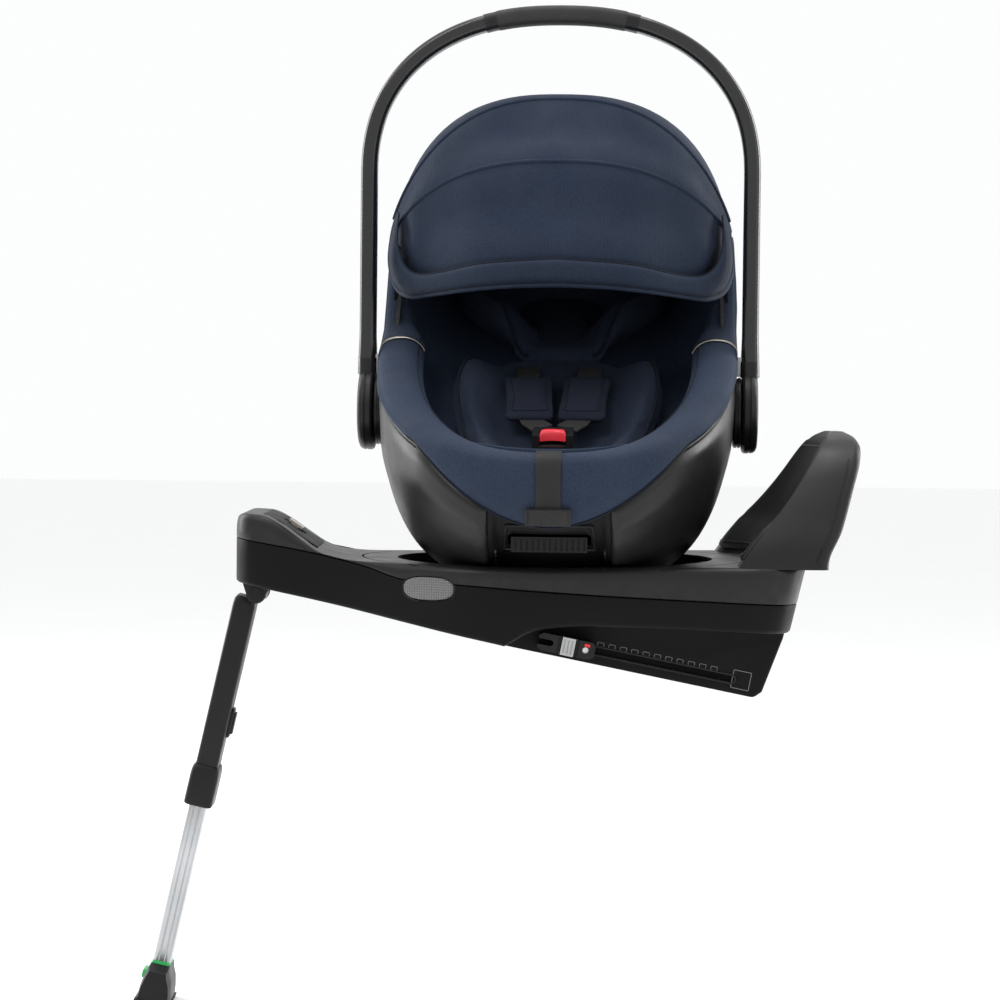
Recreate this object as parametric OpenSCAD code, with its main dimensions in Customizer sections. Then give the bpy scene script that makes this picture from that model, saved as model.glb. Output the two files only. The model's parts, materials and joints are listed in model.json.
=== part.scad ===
// Infant carrier with a carrying handle and a hood, docked on a swivelling vehicle base.
// Millimetres, +Z up, +X towards the rebound panel, -Y towards the foot end of the carrier.
// The origin is on the sloped underside of the base, straight below the swivel axis.

/* [Base] */
// Slope of the underside, to suit a vehicle cushion (degrees)
cushion_slope = 11.3; // [10.8:0.1:11.6]
// Half of the widest part of the base
base_half_width = 190; // [186:1:194]
// Wall thickness of the moulded housings
wall = 3; // [2.5:0.1:3.5]
// Radius of the swivel dish in the top of the base
dish_radius = 176; // [174:1:178]
// Height of the flat top of the base above the origin
top_z = 97; // [96:0.5:98]

/* [Support leg] */
// Lean of the leg from the vertical (degrees)
leg_lean = 12.6; // [12:0.1:13]
// Length of the upper tube below its hinge
leg_upper_length = 243; // [235:1:250]
// Length from the hinge to the bottom of the foot
leg_total_length = 474; // [465:1:480]

/* [Vehicle anchor arms] */
// Distance from the arm pivot to the seat of the anchor bar
arm_reach = 38; // [36:1:40]
// Radius of the seat that holds the anchor bar
anchor_seat_r = 3.2; // [3.1:0.05:3.3]

/* [Carrier] */
// Swivel angle at which the carrier stands (degrees)
carrier_yaw = -2.7; // [-5:0.1:5]
// Half of the shell's width at the rim
shell_half_width = 194; // [192:1:195]
// Half of the shell's length at the rim
shell_half_length = 338; // [335:1:340]
// Distance of the shell's middle behind the swivel axis
shell_mid_y = 75; // [74:1:76]

/* [Handle] */
// Outer half width of the handle
handle_half_width = 227; // [226:1:229]
// Top of the handle above the origin
handle_top_z = 720; // [712:1:726]
// Thickness of the handle seen from the front
handle_thickness = 19; // [18:1:20]
// Depth of the handle seen from the side
handle_depth = 32; // [28:1:34]

/* [Hood] */
// Radius of the hood's bows about their pivot
hood_radius = 188; // [184:1:190]
// Half of the distance between the hood's pivots
hood_half_width = 187; // [186:1:187]

/* [Hidden] */

$fn = 64;
gap = 0.4;                  // clearance between pieces that only lie against each other
fit = 0.05;                 // radial clearance of a running fit
big = 900;                  // larger than anything it is cut from

// --- Base -------------------------------------------------------------------
slope = tan(cushion_slope);
dish_floor_z = 70;
spigot_r = 25;
disc_z = [71, 81];
disc_r = dish_radius - 4;
retainer_r = 36;
// Half width of the base along its length, from the nose to the rebound end
plan_half = [
    [-352, 52], [-347, 74], [-334, 89], [-310, 97], [-270, 102], [-238, 110], [-206, 125],
    [-172, 145], [-104, 178], [-70, base_half_width - 5],
    [-30, base_half_width], [196, base_half_width], [228, base_half_width - 5],
    [250, base_half_width - 16], [262, base_half_width - 34], [268, base_half_width - 60]
];
top_line = [
    [271, top_z + 3], [190, top_z + 2], [-100, top_z], [-200, top_z + 1], [-238, top_z + 4],
    [-258, top_z + 10], [-278, top_z + 23], [-304, top_z + 41], [-322, top_z + 49],
    [-352, top_z + 51]
];
seam_line = [[-360, 122], [-270, 107], [-206, 93], [-164, 81], [-100, 77], [69, 67], [280, 58]];
skirt_line = [[262, 28], [34, 35], [6, 34], [-24, 30], [-56, 13]];
nose_lift = 2;              // the underside of the nose clears the cushion plane by this
wedge_half_width = 150;
wedge_end = [212, 221, 250]; // x of the wedge's bottom corner, its heel and its top corner
// The oval swivel buttons: middle, height and width, and the angle of the side wall there
oval_x = -137;
oval_z = 72.5;
oval_half = [30, 12.5];
oval_y = 162;
oval_turn = atan((178 - 145) / (172 - 104));
screw_x = [-30, 60, 150];
screw_y = 132;

// --- Rebound panel ----------------------------------------------------------
pad_thickness = 5;
panel_inner = [[188, top_z + 4], [202, 117], [228, 151], [250, 184], [265, 205], [277, 221], [290, 236]];
panel_back = [
    [303, 243], [315, 243], [325, 237], [329, 226], [327, 212], [304, 140], [288, top_z + 4]
];
panel_half = [
    [top_z + 3, base_half_width - 10], [120, 176], [150, 160], [180, 142], [205, 124],
    [224, 104], [236, 78], [243, 34]
];
scoop = [[90, 230], [118, 250], [151, 276], [220, 297], [250, 301]]; // height, radius

// --- Support leg ------------------------------------------------------------
leg_pivot = [-332, 0, 56];
leg_mid_x = -11;            // the tubes hang beside the hinge pin
leg_tube = [25, 46];
leg_inner_tube = [19.4, 40];
leg_wall = 2.5;
hinge_pin_r = 5;
leg_button_z = -150;
cheek_y = [24.5, 31.5];

// --- Vehicle anchor arms, in the frame of the sloped underside -----------------
arm_pivot = [28, 15];
slot_x = [22, 188];
slot_half = 3.6;
arm_pin_r = 3.3;
arm_y = [153, 178];
arm_half = 9.5;

// --- Carrier ------------------------------------------------------------------
foot_exp = 2.4;
head_exp = 2.8;
shell_bottom_z = 90;
bottom_half = [88, 114];
rim_drop = 8;               // the hard rim lies under the padded edge
foot_rim_z = 216;
rim_slope = 0.39;
head_rim_z = 478;
shell_wall = 4;
around = 48;                // divisions round the rim
tub_half = [128, 302];
tub_mid_y = 85;
tub_exp = 3;
bight = [-90, 168, 50];     // where the seat meets the back: y, z, and how far the bend reaches
back_slope = 0.56;
seat_slope = 0.16;
fairing_front_x = 65;
bar_r = 3;
bar_y = 92;
bar_z = 84.6;
bar_half = 50;
hook_x = 34;
cover_layer = 6;
skin_gap = 1.8;             // between curved skins that lie over each other
floor_shares = [0.85, 0.75, 0.67, 0.59, 0.51, 0.43, 0.2]; // of the way out, where the seat's floor has rings

// --- Handle and hubs -----------------------------------------------------------
pivot_y = 60;
pivot_z = 262;
hub_x = [198.5, 207.5];
yoke_x = [208, 226];
yoke_r = 46;
axle_r = 9;
button_r = 14;
handle_straight_z = 529;    // the arms are straight up to here
handle_exp = 2.3;
grip_half = 76;

// --- Hood ----------------------------------------------------------------------
hood_y = 130;
hood_z = 455;
bow_angle = [-8, 25.5, 57]; // front, middle and rear bow, up from the horizontal
bow_rod_r = 2.5;
bow_step = 7;               // each bow nests this far inside the one in front of it
hood_exp = 2.5;

// ============================ helper functions =================================
function mix(a, b, f) = a + (b - a) * f;
function clamp01(f) = max(0, min(1, f));
function smooth(f) = let (c = clamp01(f)) c * c * (3 - 2 * c);
function power(v, p) = sign(v) * pow(abs(v), p);
function reversed(list) = [for (i = [len(list) - 1:-1:0]) list[i]];
function sum(list, i = 0) = i == len(list) - 1 ? list[i] : list[i] + sum(list, i + 1);
function middle(list) = sum(list) / len(list);
function quad(a, b, c, d) = [[a, b, c], [a, c, d]];

// Plan outline of the base, moved inwards by inset
function inset_x(x, inset) = x + (x < -330 ? inset : x > 240 ? -inset : 0);
function base_plan(inset) = concat(
    [for (p = plan_half) [inset_x(p[0], inset), -p[1] + inset]],
    [for (p = reversed(plan_half)) [inset_x(p[0], inset), p[1] - inset]]
);

// Rim of the carrier: superellipse in plan, low at the foot and high round the head
function rim_exp(t) = sin(t) < 0 ? foot_exp : head_exp;
function superellipse(half, t, e) = [half[0] * power(cos(t), 2 / e), half[1] * power(sin(t), 2 / e)];
function rim_out(t) = let (
    e = 2 - 2 / rim_exp(t),
    v = [power(cos(t), e) / shell_half_width, power(sin(t), e) / shell_half_length]
) v / norm(v);
function rim_xy(t, inset = 0) = [0, shell_mid_y]
    + superellipse([shell_half_width, shell_half_length], t, rim_exp(t)) - inset * rim_out(t);
function low_rim_z(y) = foot_rim_z + rim_slope * (y - shell_mid_y + shell_half_length);
function rim_z(y) = mix(low_rim_z(y), head_rim_z, smooth((y - 95) / 95));
function top_edge_z(t) = rim_z(rim_xy(t)[1]) - rim_drop;

// Point on the outer shell: v is 0 at the rim, 1 where the side meets the flat bottom.
// The sides are full, the foot end rounder, and the head end runs up in a long slope.
function side_exp(t) = mix(2.3, sin(t) < 0 ? 2 : 1.6, sin(t) * sin(t));
function shell_point(t, v, out = 0) = let (
    top = rim_xy(t),
    low = superellipse(bottom_half, t, rim_exp(t)),
    z_top = top_edge_z(t),
    e = 2 / side_exp(t),
    c = pow(cos(90 * v), e),
    s = pow(sin(90 * v), e),
    drop = z_top - shell_bottom_z,
    run = norm(top - low),
    lean = [pow(cos(90 * v), 2 - e) * drop, pow(sin(90 * v), 2 - e) * run],
    n = lean / norm(lean),
    d = rim_out(t),
    p = low + (top - low) * c
) [p[0] + out * n[0] * d[0], p[1] + out * n[0] * d[1], z_top - drop * s - out * n[1]];
function shell_floor(t, f, out = 0) = let (p = superellipse(bottom_half, t, rim_exp(t)) * f)
    [p[0], p[1], shell_bottom_z - out];

// Seat surface of the tub, and a point on the tub: in is the depth in from its outer face
function bent(d, reach) = abs(d) > reach ? abs(d) : (d * d + reach * reach) / (2 * reach);
function floor_z(y) = let (d = y - bight[0]) bight[1]
    + d * (back_slope - seat_slope) / 2 + bent(d, bight[2]) * (back_slope + seat_slope) / 2;
function tub_floor_xy(t) = [0, tub_mid_y] + superellipse(tub_half, t, tub_exp);
function tub_point(t, v, in = 0) = let (
    top = rim_xy(t, shell_wall + 2 * gap),
    low = tub_floor_xy(t),
    c = cos(90 * v),
    s = sin(90 * v),
    p = low + (top - low) * c - in * rim_out(t)
) [p[0], p[1], mix(top_edge_z(t), floor_z(low[1]), s) + (v > 0 ? in : 0)];
function tub_floor(t, f, in = 0) = let (
    p = (superellipse(tub_half, t, tub_exp) - in * rim_out(t)) * f + [0, tub_mid_y]
) [p[0], p[1], floor_z(p[1]) + in];

// How far the padded edge hangs down outside the shell, deepest at the foot
function drape(t) = 20 + 53 * (sin(t) < 0 ? max(0, 1 - pow(abs(rim_xy(t)[0]) / 135, 1.2)) : 0);
function drape_v(t) = asin(clamp01(
    pow((drape(t) - rim_drop) / (top_edge_z(t) - shell_bottom_z), side_exp(t) / 2))) / 90;

// A ring of points, one for each division round the carrier
function rim_angles() = [for (i = [0:around - 1]) i * 360 / around];

// Hood: distance of a bow from the pivot axis at x, for the bow numbered from the front
function hood_r(x, half, r) = r * pow(max(0, 1 - pow(abs(x) / half, hood_exp)), 0.72);
function bow_half(k) = hood_half_width - k * bow_step;
function bow_radius(k) = hood_radius - k * bow_step;
function about_pivot(x, r, angle) = [x, hood_y - r * cos(angle), hood_z + r * sin(angle)];

// Loops of a section swept along points, with its first axis kept along side
function tangent(p, i) = let (d = p[min(len(p) - 1, i + 1)] - p[max(0, i - 1)]) d / norm(d);
function swept(points, section, side) = [
    for (i = [0:len(points) - 1]) let (
        t = tangent(points, i),
        up = cross(t, side),
        n = up / norm(up),
        s = cross(n, t)
    ) [for (q = section) points[i] + s * q[0] + n * q[1]]
];
function round_section(r, sides = 8) = [
    for (i = [0:sides - 1]) let (a = -i * 360 / sides) r * [cos(a), sin(a)]
];
function flat_section(w, h) = [[-w, -h] / 2, [-w, h] / 2, [w, h] / 2, [w, -h] / 2];

// ============================ helper modules ===================================
// Closed skin between an outer and an inner set of rings, each closed by a middle point
module thick_bowl(outer, inner) {
    n = len(outer[0]);
    k = len(outer);
    half = n * k + 1;
    points = concat(
        [for (r = outer) each r], [middle(outer[k - 1])],
        [for (r = inner) each r], [middle(inner[k - 1])]
    );
    faces = concat(
        [for (r = [0:k - 2]) for (i = [0:n - 1]) let (j = (i + 1) % n)
            each quad(r * n + i, r * n + j, (r + 1) * n + j, (r + 1) * n + i)],
        [for (i = [0:n - 1]) [(k - 1) * n + i, (k - 1) * n + (i + 1) % n, n * k]],
        [for (r = [0:k - 2]) for (i = [0:n - 1]) let (j = (i + 1) % n, a = half + r * n)
            each quad(a + n + i, a + n + j, a + j, a + i)],
        [for (i = [0:n - 1]) let (a = half + (k - 1) * n) [half + n * k, a + (i + 1) % n, a + i]],
        [for (i = [0:n - 1]) let (j = (i + 1) % n) each quad(half + i, half + j, j, i)]
    );
    polyhedron(points, faces);
}

// Solid through closed loops of points, clockwise when seen from beyond the last one. A loop's
// second half runs back beside its first half, so each end is closed by a strip of quads.
module loft(loops) {
    m = len(loops[0]);
    n = len(loops);
    last = (n - 1) * m;
    faces = concat(
        [for (i = [0:n - 2]) for (j = [0:m - 1]) let (a = i + 1, b = (j + 1) % m)
            each quad(i * m + j, i * m + b, a * m + b, a * m + j)],
        [for (j = [0:m / 2 - 2]) each quad(m - 1 - j, m - 2 - j, j + 1, j)],
        [for (j = [0:m / 2 - 2]) each quad(last + j, last + j + 1, last + m - 2 - j, last + m - 1 - j)]
    );
    polyhedron([for (r = loops) each r], faces);
}

module in_carrier() { rotate([0, 0, carrier_yaw]) children(); }
module in_underside() { rotate([0, cushion_slope, 0]) children(); }
module in_leg() { translate(leg_pivot) rotate([0, leg_lean, 0]) children(); }
module far_side() { mirror([0, 1, 0]) children(); }
module side_slab(points, half = 300) {
    rotate([90, 0, 0]) linear_extrude(height = 2 * half, center = true) polygon(points);
}
module block(lo, hi) { translate(lo) cube(hi - lo); }
module along_y(r, y0, y1) { translate([0, y0, 0]) rotate([-90, 0, 0]) cylinder(r = r, h = y1 - y0); }
module along_x(r, x0, x1) { translate([x0, 0, 0]) rotate([0, 90, 0]) cylinder(r = r, h = x1 - x0); }

// ============================ base =============================================
module base_block(inset, side_points, base_z = -60) {
    intersection() {
        translate([0, 0, base_z]) linear_extrude(height = 260) polygon(base_plan(inset));
        side_slab(side_points);
    }
}
function lowered(line, drop) = [for (p = line) [p[0], p[1] - drop]];
module oval_prism(grow, depth_in, depth_out) {
    for (side = [0, 1]) mirror([0, side, 0])
        translate([oval_x, -oval_y, oval_z]) rotate([0, 0, -oval_turn]) rotate([90, 0, 0])
            translate([0, 0, -depth_in]) linear_extrude(height = depth_in + depth_out)
                scale([oval_half[0] + grow, oval_half[1] + grow]) circle(r = 1);
}
module base_upper_cover() color("#3b3b3b") {
    outer = concat(top_line, seam_line);
    inner = concat(lowered(top_line, wall), lowered(seam_line, 4 * wall));
    difference() {
        base_block(0, outer);
        difference() {
            base_block(wall, inner);
            translate([0, 0, dish_floor_z - wall]) cylinder(r = dish_radius + wall, h = 60);
        }
        translate([0, 0, dish_floor_z]) cylinder(r = dish_radius, h = 60, $fn = 128);
        translate([0, 0, 40]) cylinder(r = spigot_r + 2, h = 60);
        translate([0, 0, top_z - 1.2]) rotate_extrude($fn = 128)
            translate([214, 0]) square([2.4, 10]);
        oval_prism(gap, 40, 20);
        nose_slot();
    }
}
module nose_slot() {
    translate([-291, 0, top_z + 10]) block([-14, -11, -20], [14, 11, 60]);
}
module base_lower_tray() color("#333333") {
    room = concat([[-357, 130], [280, 130]], [[262, 31], [4, 36]],
        [[-60, 14 + wall], [-357, nose_lift + wall + 357 * slope]]);
    difference() {
        union() {
            base_block(2, concat(lowered(seam_line, gap), reversed_skirt()));
            side_slab(wedge_line(0), wedge_half_width);
        }
        base_block(2 + wall, room);
        side_slab(wedge_line(wall), wedge_half_width - wall);
        translate([0, 0, dish_floor_z - wall - gap]) cylinder(r = dish_radius + wall + gap, h = 60, $fn = 96);
        oval_prism(gap, 40, 20);
        in_underside() arm_slot(wedge_half_width + 1, slot_half);
        screw_places() translate([0, 0, -2]) cylinder(r = 4.9, h = 3.6, $fn = 24);
    }
}
module screw_places() {
    in_underside() for (x = screw_x) for (y = [-screw_y, screw_y]) translate([x, y, 0]) children();
}
function reversed_skirt() = concat(
    skirt_line, [for (x = [-60, -360]) [x, nose_lift - x * slope]]
);
function wedge_line(inset) = [
    [-80 + inset, 80 * slope + inset], [wedge_end[0] - inset / 2, inset - wedge_end[0] * slope],
    [wedge_end[1] - inset, inset / 2 - 36], [244 - inset, 24], [wedge_end[2] - inset, 40 + inset],
    [-80 + inset, 40 + inset]
];
module arm_slot(half_y, half_z) {
    hull() for (x = slot_x) translate([x, 0, arm_pivot[1]]) rotate([90, 0, 0])
        cylinder(r = half_z, h = 2 * half_y, center = true, $fn = 32);
}
module base_chassis() color("#8d9094") {
    difference() {
        in_underside() block([-318, -34, 24], [196, 34, 38]);
        in_underside() block([-320, -31, 20], [200, 31, 35]);
        translate([0, 0, dish_floor_z - wall - 1]) cylinder(r = dish_radius + wall + 1, h = 60);
    }
    difference() {
        translate([0, 0, 35]) cylinder(r = spigot_r, h = disc_z[1] + 0.2 - 35);
        translate([0, 0, 34]) cylinder(r = 8, h = 60);
        in_underside() block([-60, -34, 10], [60, 34, 38]);
    }
}
module panel_solid(inset, top_inset) {
    intersection() {
        side_slab(concat(
            [for (p = panel_inner) [p[0] + inset, p[1] - (p[1] > 200 ? top_inset : 0)]],
            [for (p = panel_back) [p[0] - inset, p[1] - (p[1] > 200 ? top_inset : 0)]]
        ));
        translate([150, 0, 0]) rotate([90, 0, 90]) linear_extrude(height = 200) polygon(concat(
            [for (p = panel_half) [p[1] - inset, p[0] - (p[0] > 200 ? top_inset : 0)]],
            [for (p = reversed(panel_half)) [inset - p[1], p[0] - (p[0] > 200 ? top_inset : 0)]]
        ));
    }
}
module scoop_body(grow) {
    rotate_extrude($fn = 128) polygon(concat(
        [for (p = scoop) [p[1] + grow, p[0]]], [[0, scoop[len(scoop) - 1][0]], [0, scoop[0][0]]]
    ));
}
module rebound_shell() color("#444444") {
    difference() {
        panel_solid(0, 0);
        scoop_body(pad_thickness + gap);
        difference() {
            panel_solid(wall, wall);
            scoop_body(pad_thickness + gap + wall);
        }
    }
}
module rebound_pad() color("#565656") {
    intersection() {
        difference() {
            panel_solid(4, 6);
            scoop_body(0);
        }
        scoop_body(pad_thickness);
    }
}
module nose_panel() color("#4c4c4c") {
    nose_top = [[-262, top_z + 13.2], [-278, top_z + 23.4], [-304, top_z + 41.4], [-322, top_z + 49.4]];
    difference() {
        side_slab(concat(lowered(nose_top, -2.5), reversed(nose_top)), 62);
        nose_slot();
    }
}
module isofix_rails() color("#9fa3a6") {
    in_underside() for (side = [-1, 1]) difference() {
        translate([0, side * 143.4, 0]) block([12, -1.4, 5], [198, 1.4, 25]);
        arm_slot(160, slot_half);
    }
}
module base_screws() color("#a8a8a8") screw_places() difference() {
    translate([0, 0, 0.4]) cylinder(r = 4.6, h = 1.2, $fn = 24);
    translate([0, 0, -1]) cylinder(r = 2, h = 2, $fn = 6);
}
module leg_bracket() color("#2f2f2f") {
    difference() {
        union() for (side = [-1, 1]) mirror([0, side > 0 ? 0 : 1, 0]) {
            translate([leg_pivot[0], 0, leg_pivot[2]]) along_y(11, cheek_y[0], cheek_y[1]);
            side_slab_between([
                [leg_pivot[0] - 11, leg_pivot[2]], [leg_pivot[0] + 11, leg_pivot[2]],
                [leg_pivot[0] + 18, bracket_top(leg_pivot[0] + 18)],
                [leg_pivot[0] - 16, bracket_top(leg_pivot[0] - 16)]
            ], cheek_y[0], cheek_y[1]);
        }
        translate([leg_pivot[0], 0, leg_pivot[2]]) along_y(hinge_pin_r, -60, 60);
    }
}
function bracket_top(x) = nose_lift - gap / 4 - x * slope;
module side_slab_between(points, y0, y1) {
    translate([0, y1, 0]) rotate([90, 0, 0]) linear_extrude(height = y1 - y0) polygon(points);
}
module leg_hinge_pin() color("#b5b5b5") {
    translate([leg_pivot[0], 0, leg_pivot[2]]) {
        along_y(hinge_pin_r, -cheek_y[1], cheek_y[1]);
        for (y = [-cheek_y[1] - 1.6, cheek_y[1]]) along_y(hinge_pin_r + 2.5, y, y + 1.6);
    }
}

// ============================ swivel ===========================================
module turntable_glide_ring() color("#d9d9d2") {
    translate([0, 0, dish_floor_z]) rotate_extrude() translate([110, 0])
        square([30, disc_z[0] - dish_floor_z]);
}
module turntable_retainer() color("#2a2a2a") {
    translate([0, 0, disc_z[1] + 0.2]) difference() {
        cylinder(r = retainer_r, h = 2.6);
        cylinder(r = 8, h = 20, center = true);
    }
}
module turntable_disc() color("#262626") {
    difference() {
        translate([0, 0, disc_z[0]]) cylinder(r = disc_r, h = disc_z[1] - disc_z[0], $fn = 128);
        cylinder(r = spigot_r + fit, h = 200);
        for (a = [0:30:330]) rotate([0, 0, a]) translate([150, 0, disc_z[1] - 1.5])
            cylinder(r = 6, h = 5, $fn = 24);
    }
}
module dock_hooks() color("#777777") {
    in_carrier() for (side = [-1, 1]) for (x = [-hook_x, hook_x]) difference() {
        translate([x, side * bar_y, 0]) block([-7, -7, disc_z[1]], [7, 7, bar_z + 2.4]);
        translate([0, side * bar_y, bar_z]) along_x(bar_r + fit, -80, 80);
        translate([x, side * bar_y, bar_z]) block([-10, -bar_r - fit, 0], [10, bar_r + fit, 10]);
    }
}

// ============================ support leg ======================================
module leg_section(size, low, high) {
    block([leg_mid_x - size[0] / 2, -size[1] / 2, low], [leg_mid_x + size[0] / 2, size[1] / 2, high]);
}
module leg_upper_tube() color("#2c2c2c") in_leg() {
    bore = [leg_tube[0] - 2 * leg_wall, leg_tube[1] - 2 * leg_wall];
    difference() {
        union() {
            leg_section(leg_tube, -leg_upper_length, -8);
            along_y(10.5, -leg_tube[1] / 2, leg_tube[1] / 2);
            block([leg_mid_x - 4, -leg_tube[1] / 2, -16], [10.5, leg_tube[1] / 2, 0]);
            block([0, -12, leg_button_z - 16], [5, 12, leg_button_z + 16]);
        }
        leg_section(bore, -leg_upper_length - 1, -19);
        along_y(hinge_pin_r + fit, -60, 60);
        translate([-2, 0, leg_button_z]) block([0, -8.4, -12.4], [20, 8.4, 12.4]);
    }
}
module leg_collar() color("#232323") in_leg() {
    difference() {
        leg_section([leg_tube[0] + 7, leg_tube[1] + 7], -leg_upper_length - 4, -leg_upper_length + 42);
        leg_section([leg_tube[0] + gap, leg_tube[1] + gap], -leg_upper_length, -leg_upper_length + 60);
        leg_section([leg_inner_tube[0] + 0.8, leg_inner_tube[1] + 0.8],
            -leg_upper_length - 20, -leg_upper_length + 1);
    }
}
module leg_lower_tube() color("#cfd1d2") in_leg() {
    difference() {
        leg_section(leg_inner_tube, -leg_total_length + 34, -leg_upper_length + 72);
        leg_section([leg_inner_tube[0] - 3, leg_inner_tube[1] - 3],
            -leg_total_length - 20, -leg_upper_length + 80);
    }
}
foot_line = [[-29, 4], [-27, 28], [-23, 38], [-21.5, 44], [-0.5, 44], [2, 36], [6, 28], [9, 4]];
module leg_foot() color("#2b2b2b") in_leg() translate([0, 0, -leg_total_length]) {
    difference() {
        side_slab(foot_line, 39);
        translate([0, 0, leg_total_length]) leg_section(
            [leg_inner_tube[0] + gap, leg_inner_tube[1] + gap], -leg_total_length + 33.8, 0);
        translate([-30, 0, 28]) block([-4, -14.4, -5.4], [8, 14.4, 5.4]);
    }
}
module leg_foot_indicator() color("#0c9a45") in_leg() translate([0, 0, -leg_total_length]) {
    translate([-29, 0, 28]) block([0, -14, -5], [6, 14, 5]);
}
module leg_foot_sole() color("#1d1d1d") in_leg() translate([0, 0, -leg_total_length]) {
    difference() {
        block([-30, -40, 0], [10, 40, 4]);
        for (x = [-24:8:8]) block([x, -50, -1], [x + 3, 50, 1.4]);
    }
}
module leg_height_button() color("#3d3d3d") in_leg() {
    translate([0, 0, leg_button_z]) block([1.6, -8, -12], [7.5, 8, 12]);
}

// ============================ vehicle anchor arms ================================
module isofix_crossbar() color("#8f9295") in_underside() translate([arm_pivot[0], 0, arm_pivot[1]]) {
    along_y(6, -136, 136);
    along_y(arm_pin_r, -arm_y[1] + 4, arm_y[1] - 4);
}
// An arm lies stowed along the base, with its mouth towards the support leg
module in_arm() { in_underside() translate([arm_pivot[0], 0, arm_pivot[1]]) children(); }
module arm_body() {
    difference() {
        side_slab_between([
            [10, -arm_half + 4], [10, arm_half - 3], [6, arm_half], [-47, arm_half], [-51, arm_half - 3],
            [-51, -arm_half + 3], [-47, -arm_half], [0, -arm_half], [6, -arm_half + 1]
        ], -arm_y[1], -arm_y[0]);
        along_y(arm_pin_r + fit, -200, -100);
        translate([-arm_reach, 0, 0]) along_y(anchor_seat_r, -200, -100);
        block([-60, -200, -anchor_seat_r], [-arm_reach, -100, anchor_seat_r]);
        block([-30.2, -arm_y[1] - 1, -arm_half - 1], [-7.8, -arm_y[1] + 3.2, arm_half + 1]);
        block([-2.2, -arm_y[1] - 1, 3.8], [4.2, -arm_y[1] + 2.2, 7.2]);
    }
}
module connector_near() color("#3a3a3a") in_arm() arm_body();
module connector_far() color("#3a3a3a") far_side() in_arm() arm_body();
module arm_flag() { block([-2, -arm_y[1], 4], [4, -arm_y[1] + 2, 7]); }
module connector_flag_near() color("#b3131b") in_arm() arm_flag();
module connector_flag_far() color("#b3131b") far_side() in_arm() arm_flag();
module arm_sleeve() {
    difference() {
        block([-26, -arm_y[1] - 2.5, -arm_half], [-12, -arm_y[1] + 3, arm_half]);
        for (x = [-24:4:-14]) block([x, -arm_y[1] - 4, -7], [x + 1.6, -arm_y[1] - 1.6, 7]);
    }
}
module connector_sleeve_near() color("#b9b9b9") in_arm() arm_sleeve();
module connector_sleeve_far() color("#b9b9b9") far_side() in_arm() arm_sleeve();

// ============================ buttons of the base ================================
module swivel_button() {
    translate([oval_x, -oval_y, oval_z]) rotate([0, 0, -oval_turn]) rotate([90, 0, 0])
        translate([0, 0, -6]) linear_extrude(height = 8.5) scale(oval_half) circle(r = 1);
}
module rotation_button_near() color("#8f8f8f") swivel_button();
module rotation_button_far() color("#8f8f8f") far_side() swivel_button();
nose_turn = atan(18 / 26);
module nose_release_lever() color("#a9a39c") {
    translate([-291, 0, top_z + 34]) rotate([0, nose_turn, 0]) {
        block([-5, -10.4, -5], [5, 10.4, 1.4]);
        block([-9, -14, 1.4], [9, 14, 4]);
    }
}

// ============================ carrier ==========================================
module carrier_shell() color("#2e2e2e") in_carrier() {
    v_steps = [0, 0.12, 0.25, 0.4, 0.55, 0.7, 0.84, 0.94, 1];
    outer = concat([for (v = v_steps) [for (t = rim_angles()) shell_point(t, v)]],
        [[for (t = rim_angles()) shell_floor(t, 0.5)]]);
    inner = concat([for (v = v_steps) [for (t = rim_angles()) shell_point(t, v, -shell_wall)]],
        [[for (t = rim_angles()) shell_floor(t, 0.5, -shell_wall)]]);
    difference() {
        union() {
            thick_bowl(outer, inner);
            for (side = [0, 1]) mirror([side, 0, 0]) hood_bracket();
        }
        translate([0, pivot_y, pivot_z]) along_x(14.4, -big, big);
        grip_window();
    }
}
// Upright plate on the rim, with the pin that the hood's bows turn on
module hood_bracket() {
    x = shell_half_width - 3.4;
    translate([x, hood_y, hood_z]) along_x(9, 0, 2.6);
    translate([0, hood_y, 0]) block([x, -9, rim_z(hood_y) - 2 * rim_drop], [x + 2.6, 9, hood_z]);
    translate([0, hood_y, hood_z]) along_x(3, hood_half_width - 2 * bow_step - 4, x);
}
module grip_window() { block([-43, -300, 112], [43, -185, 134]); }
module seat_tub() color("#e6e6e2") in_carrier() {
    v_steps = [0, 0.15, 0.32, 0.5, 0.7, 0.88, 1];
    thick_bowl(
        concat([for (v = v_steps) [for (t = rim_angles()) tub_point(t, v)]],
            [for (f = floor_shares) [for (t = rim_angles()) tub_floor(t, f)]]),
        concat([for (v = v_steps) [for (t = rim_angles()) tub_point(t, v, shell_wall)]],
            [for (f = floor_shares) [for (t = rim_angles()) tub_floor(t, f, shell_wall)]])
    );
}
// Plastic fairings on the shell's sides, cut off at the front to leave the release grip open
module fairing(side) {
    v_steps = [0.97, 0.88, 0.76, 0.64, 0.52, 0.42, 0.34];
    t_steps = [for (i = [0:22]) mix(-88, 64, i / 22)];
    function at(t) = side > 0 ? t : 180 - t;
    function low_v(t, v) = max(v, drape_v(t) + 0.03 + (v - 0.34) * 0.6);
    loops = [for (t = side > 0 ? t_steps : reversed(t_steps)) concat(
        [for (v = v_steps) shell_point(at(t), low_v(at(t), v), 6)],
        [for (v = reversed(v_steps)) shell_point(at(t), low_v(at(t), v), skin_gap)]
    )];
    difference() {
        loft(loops);
        translate([-side * (big - fairing_front_x), 0, 0]) block([-big, -big, 0], [big, big, big]);
        base_clearance();
        translate([0, pivot_y, pivot_z]) along_x(14.4, -big, big);
    }
}
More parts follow.
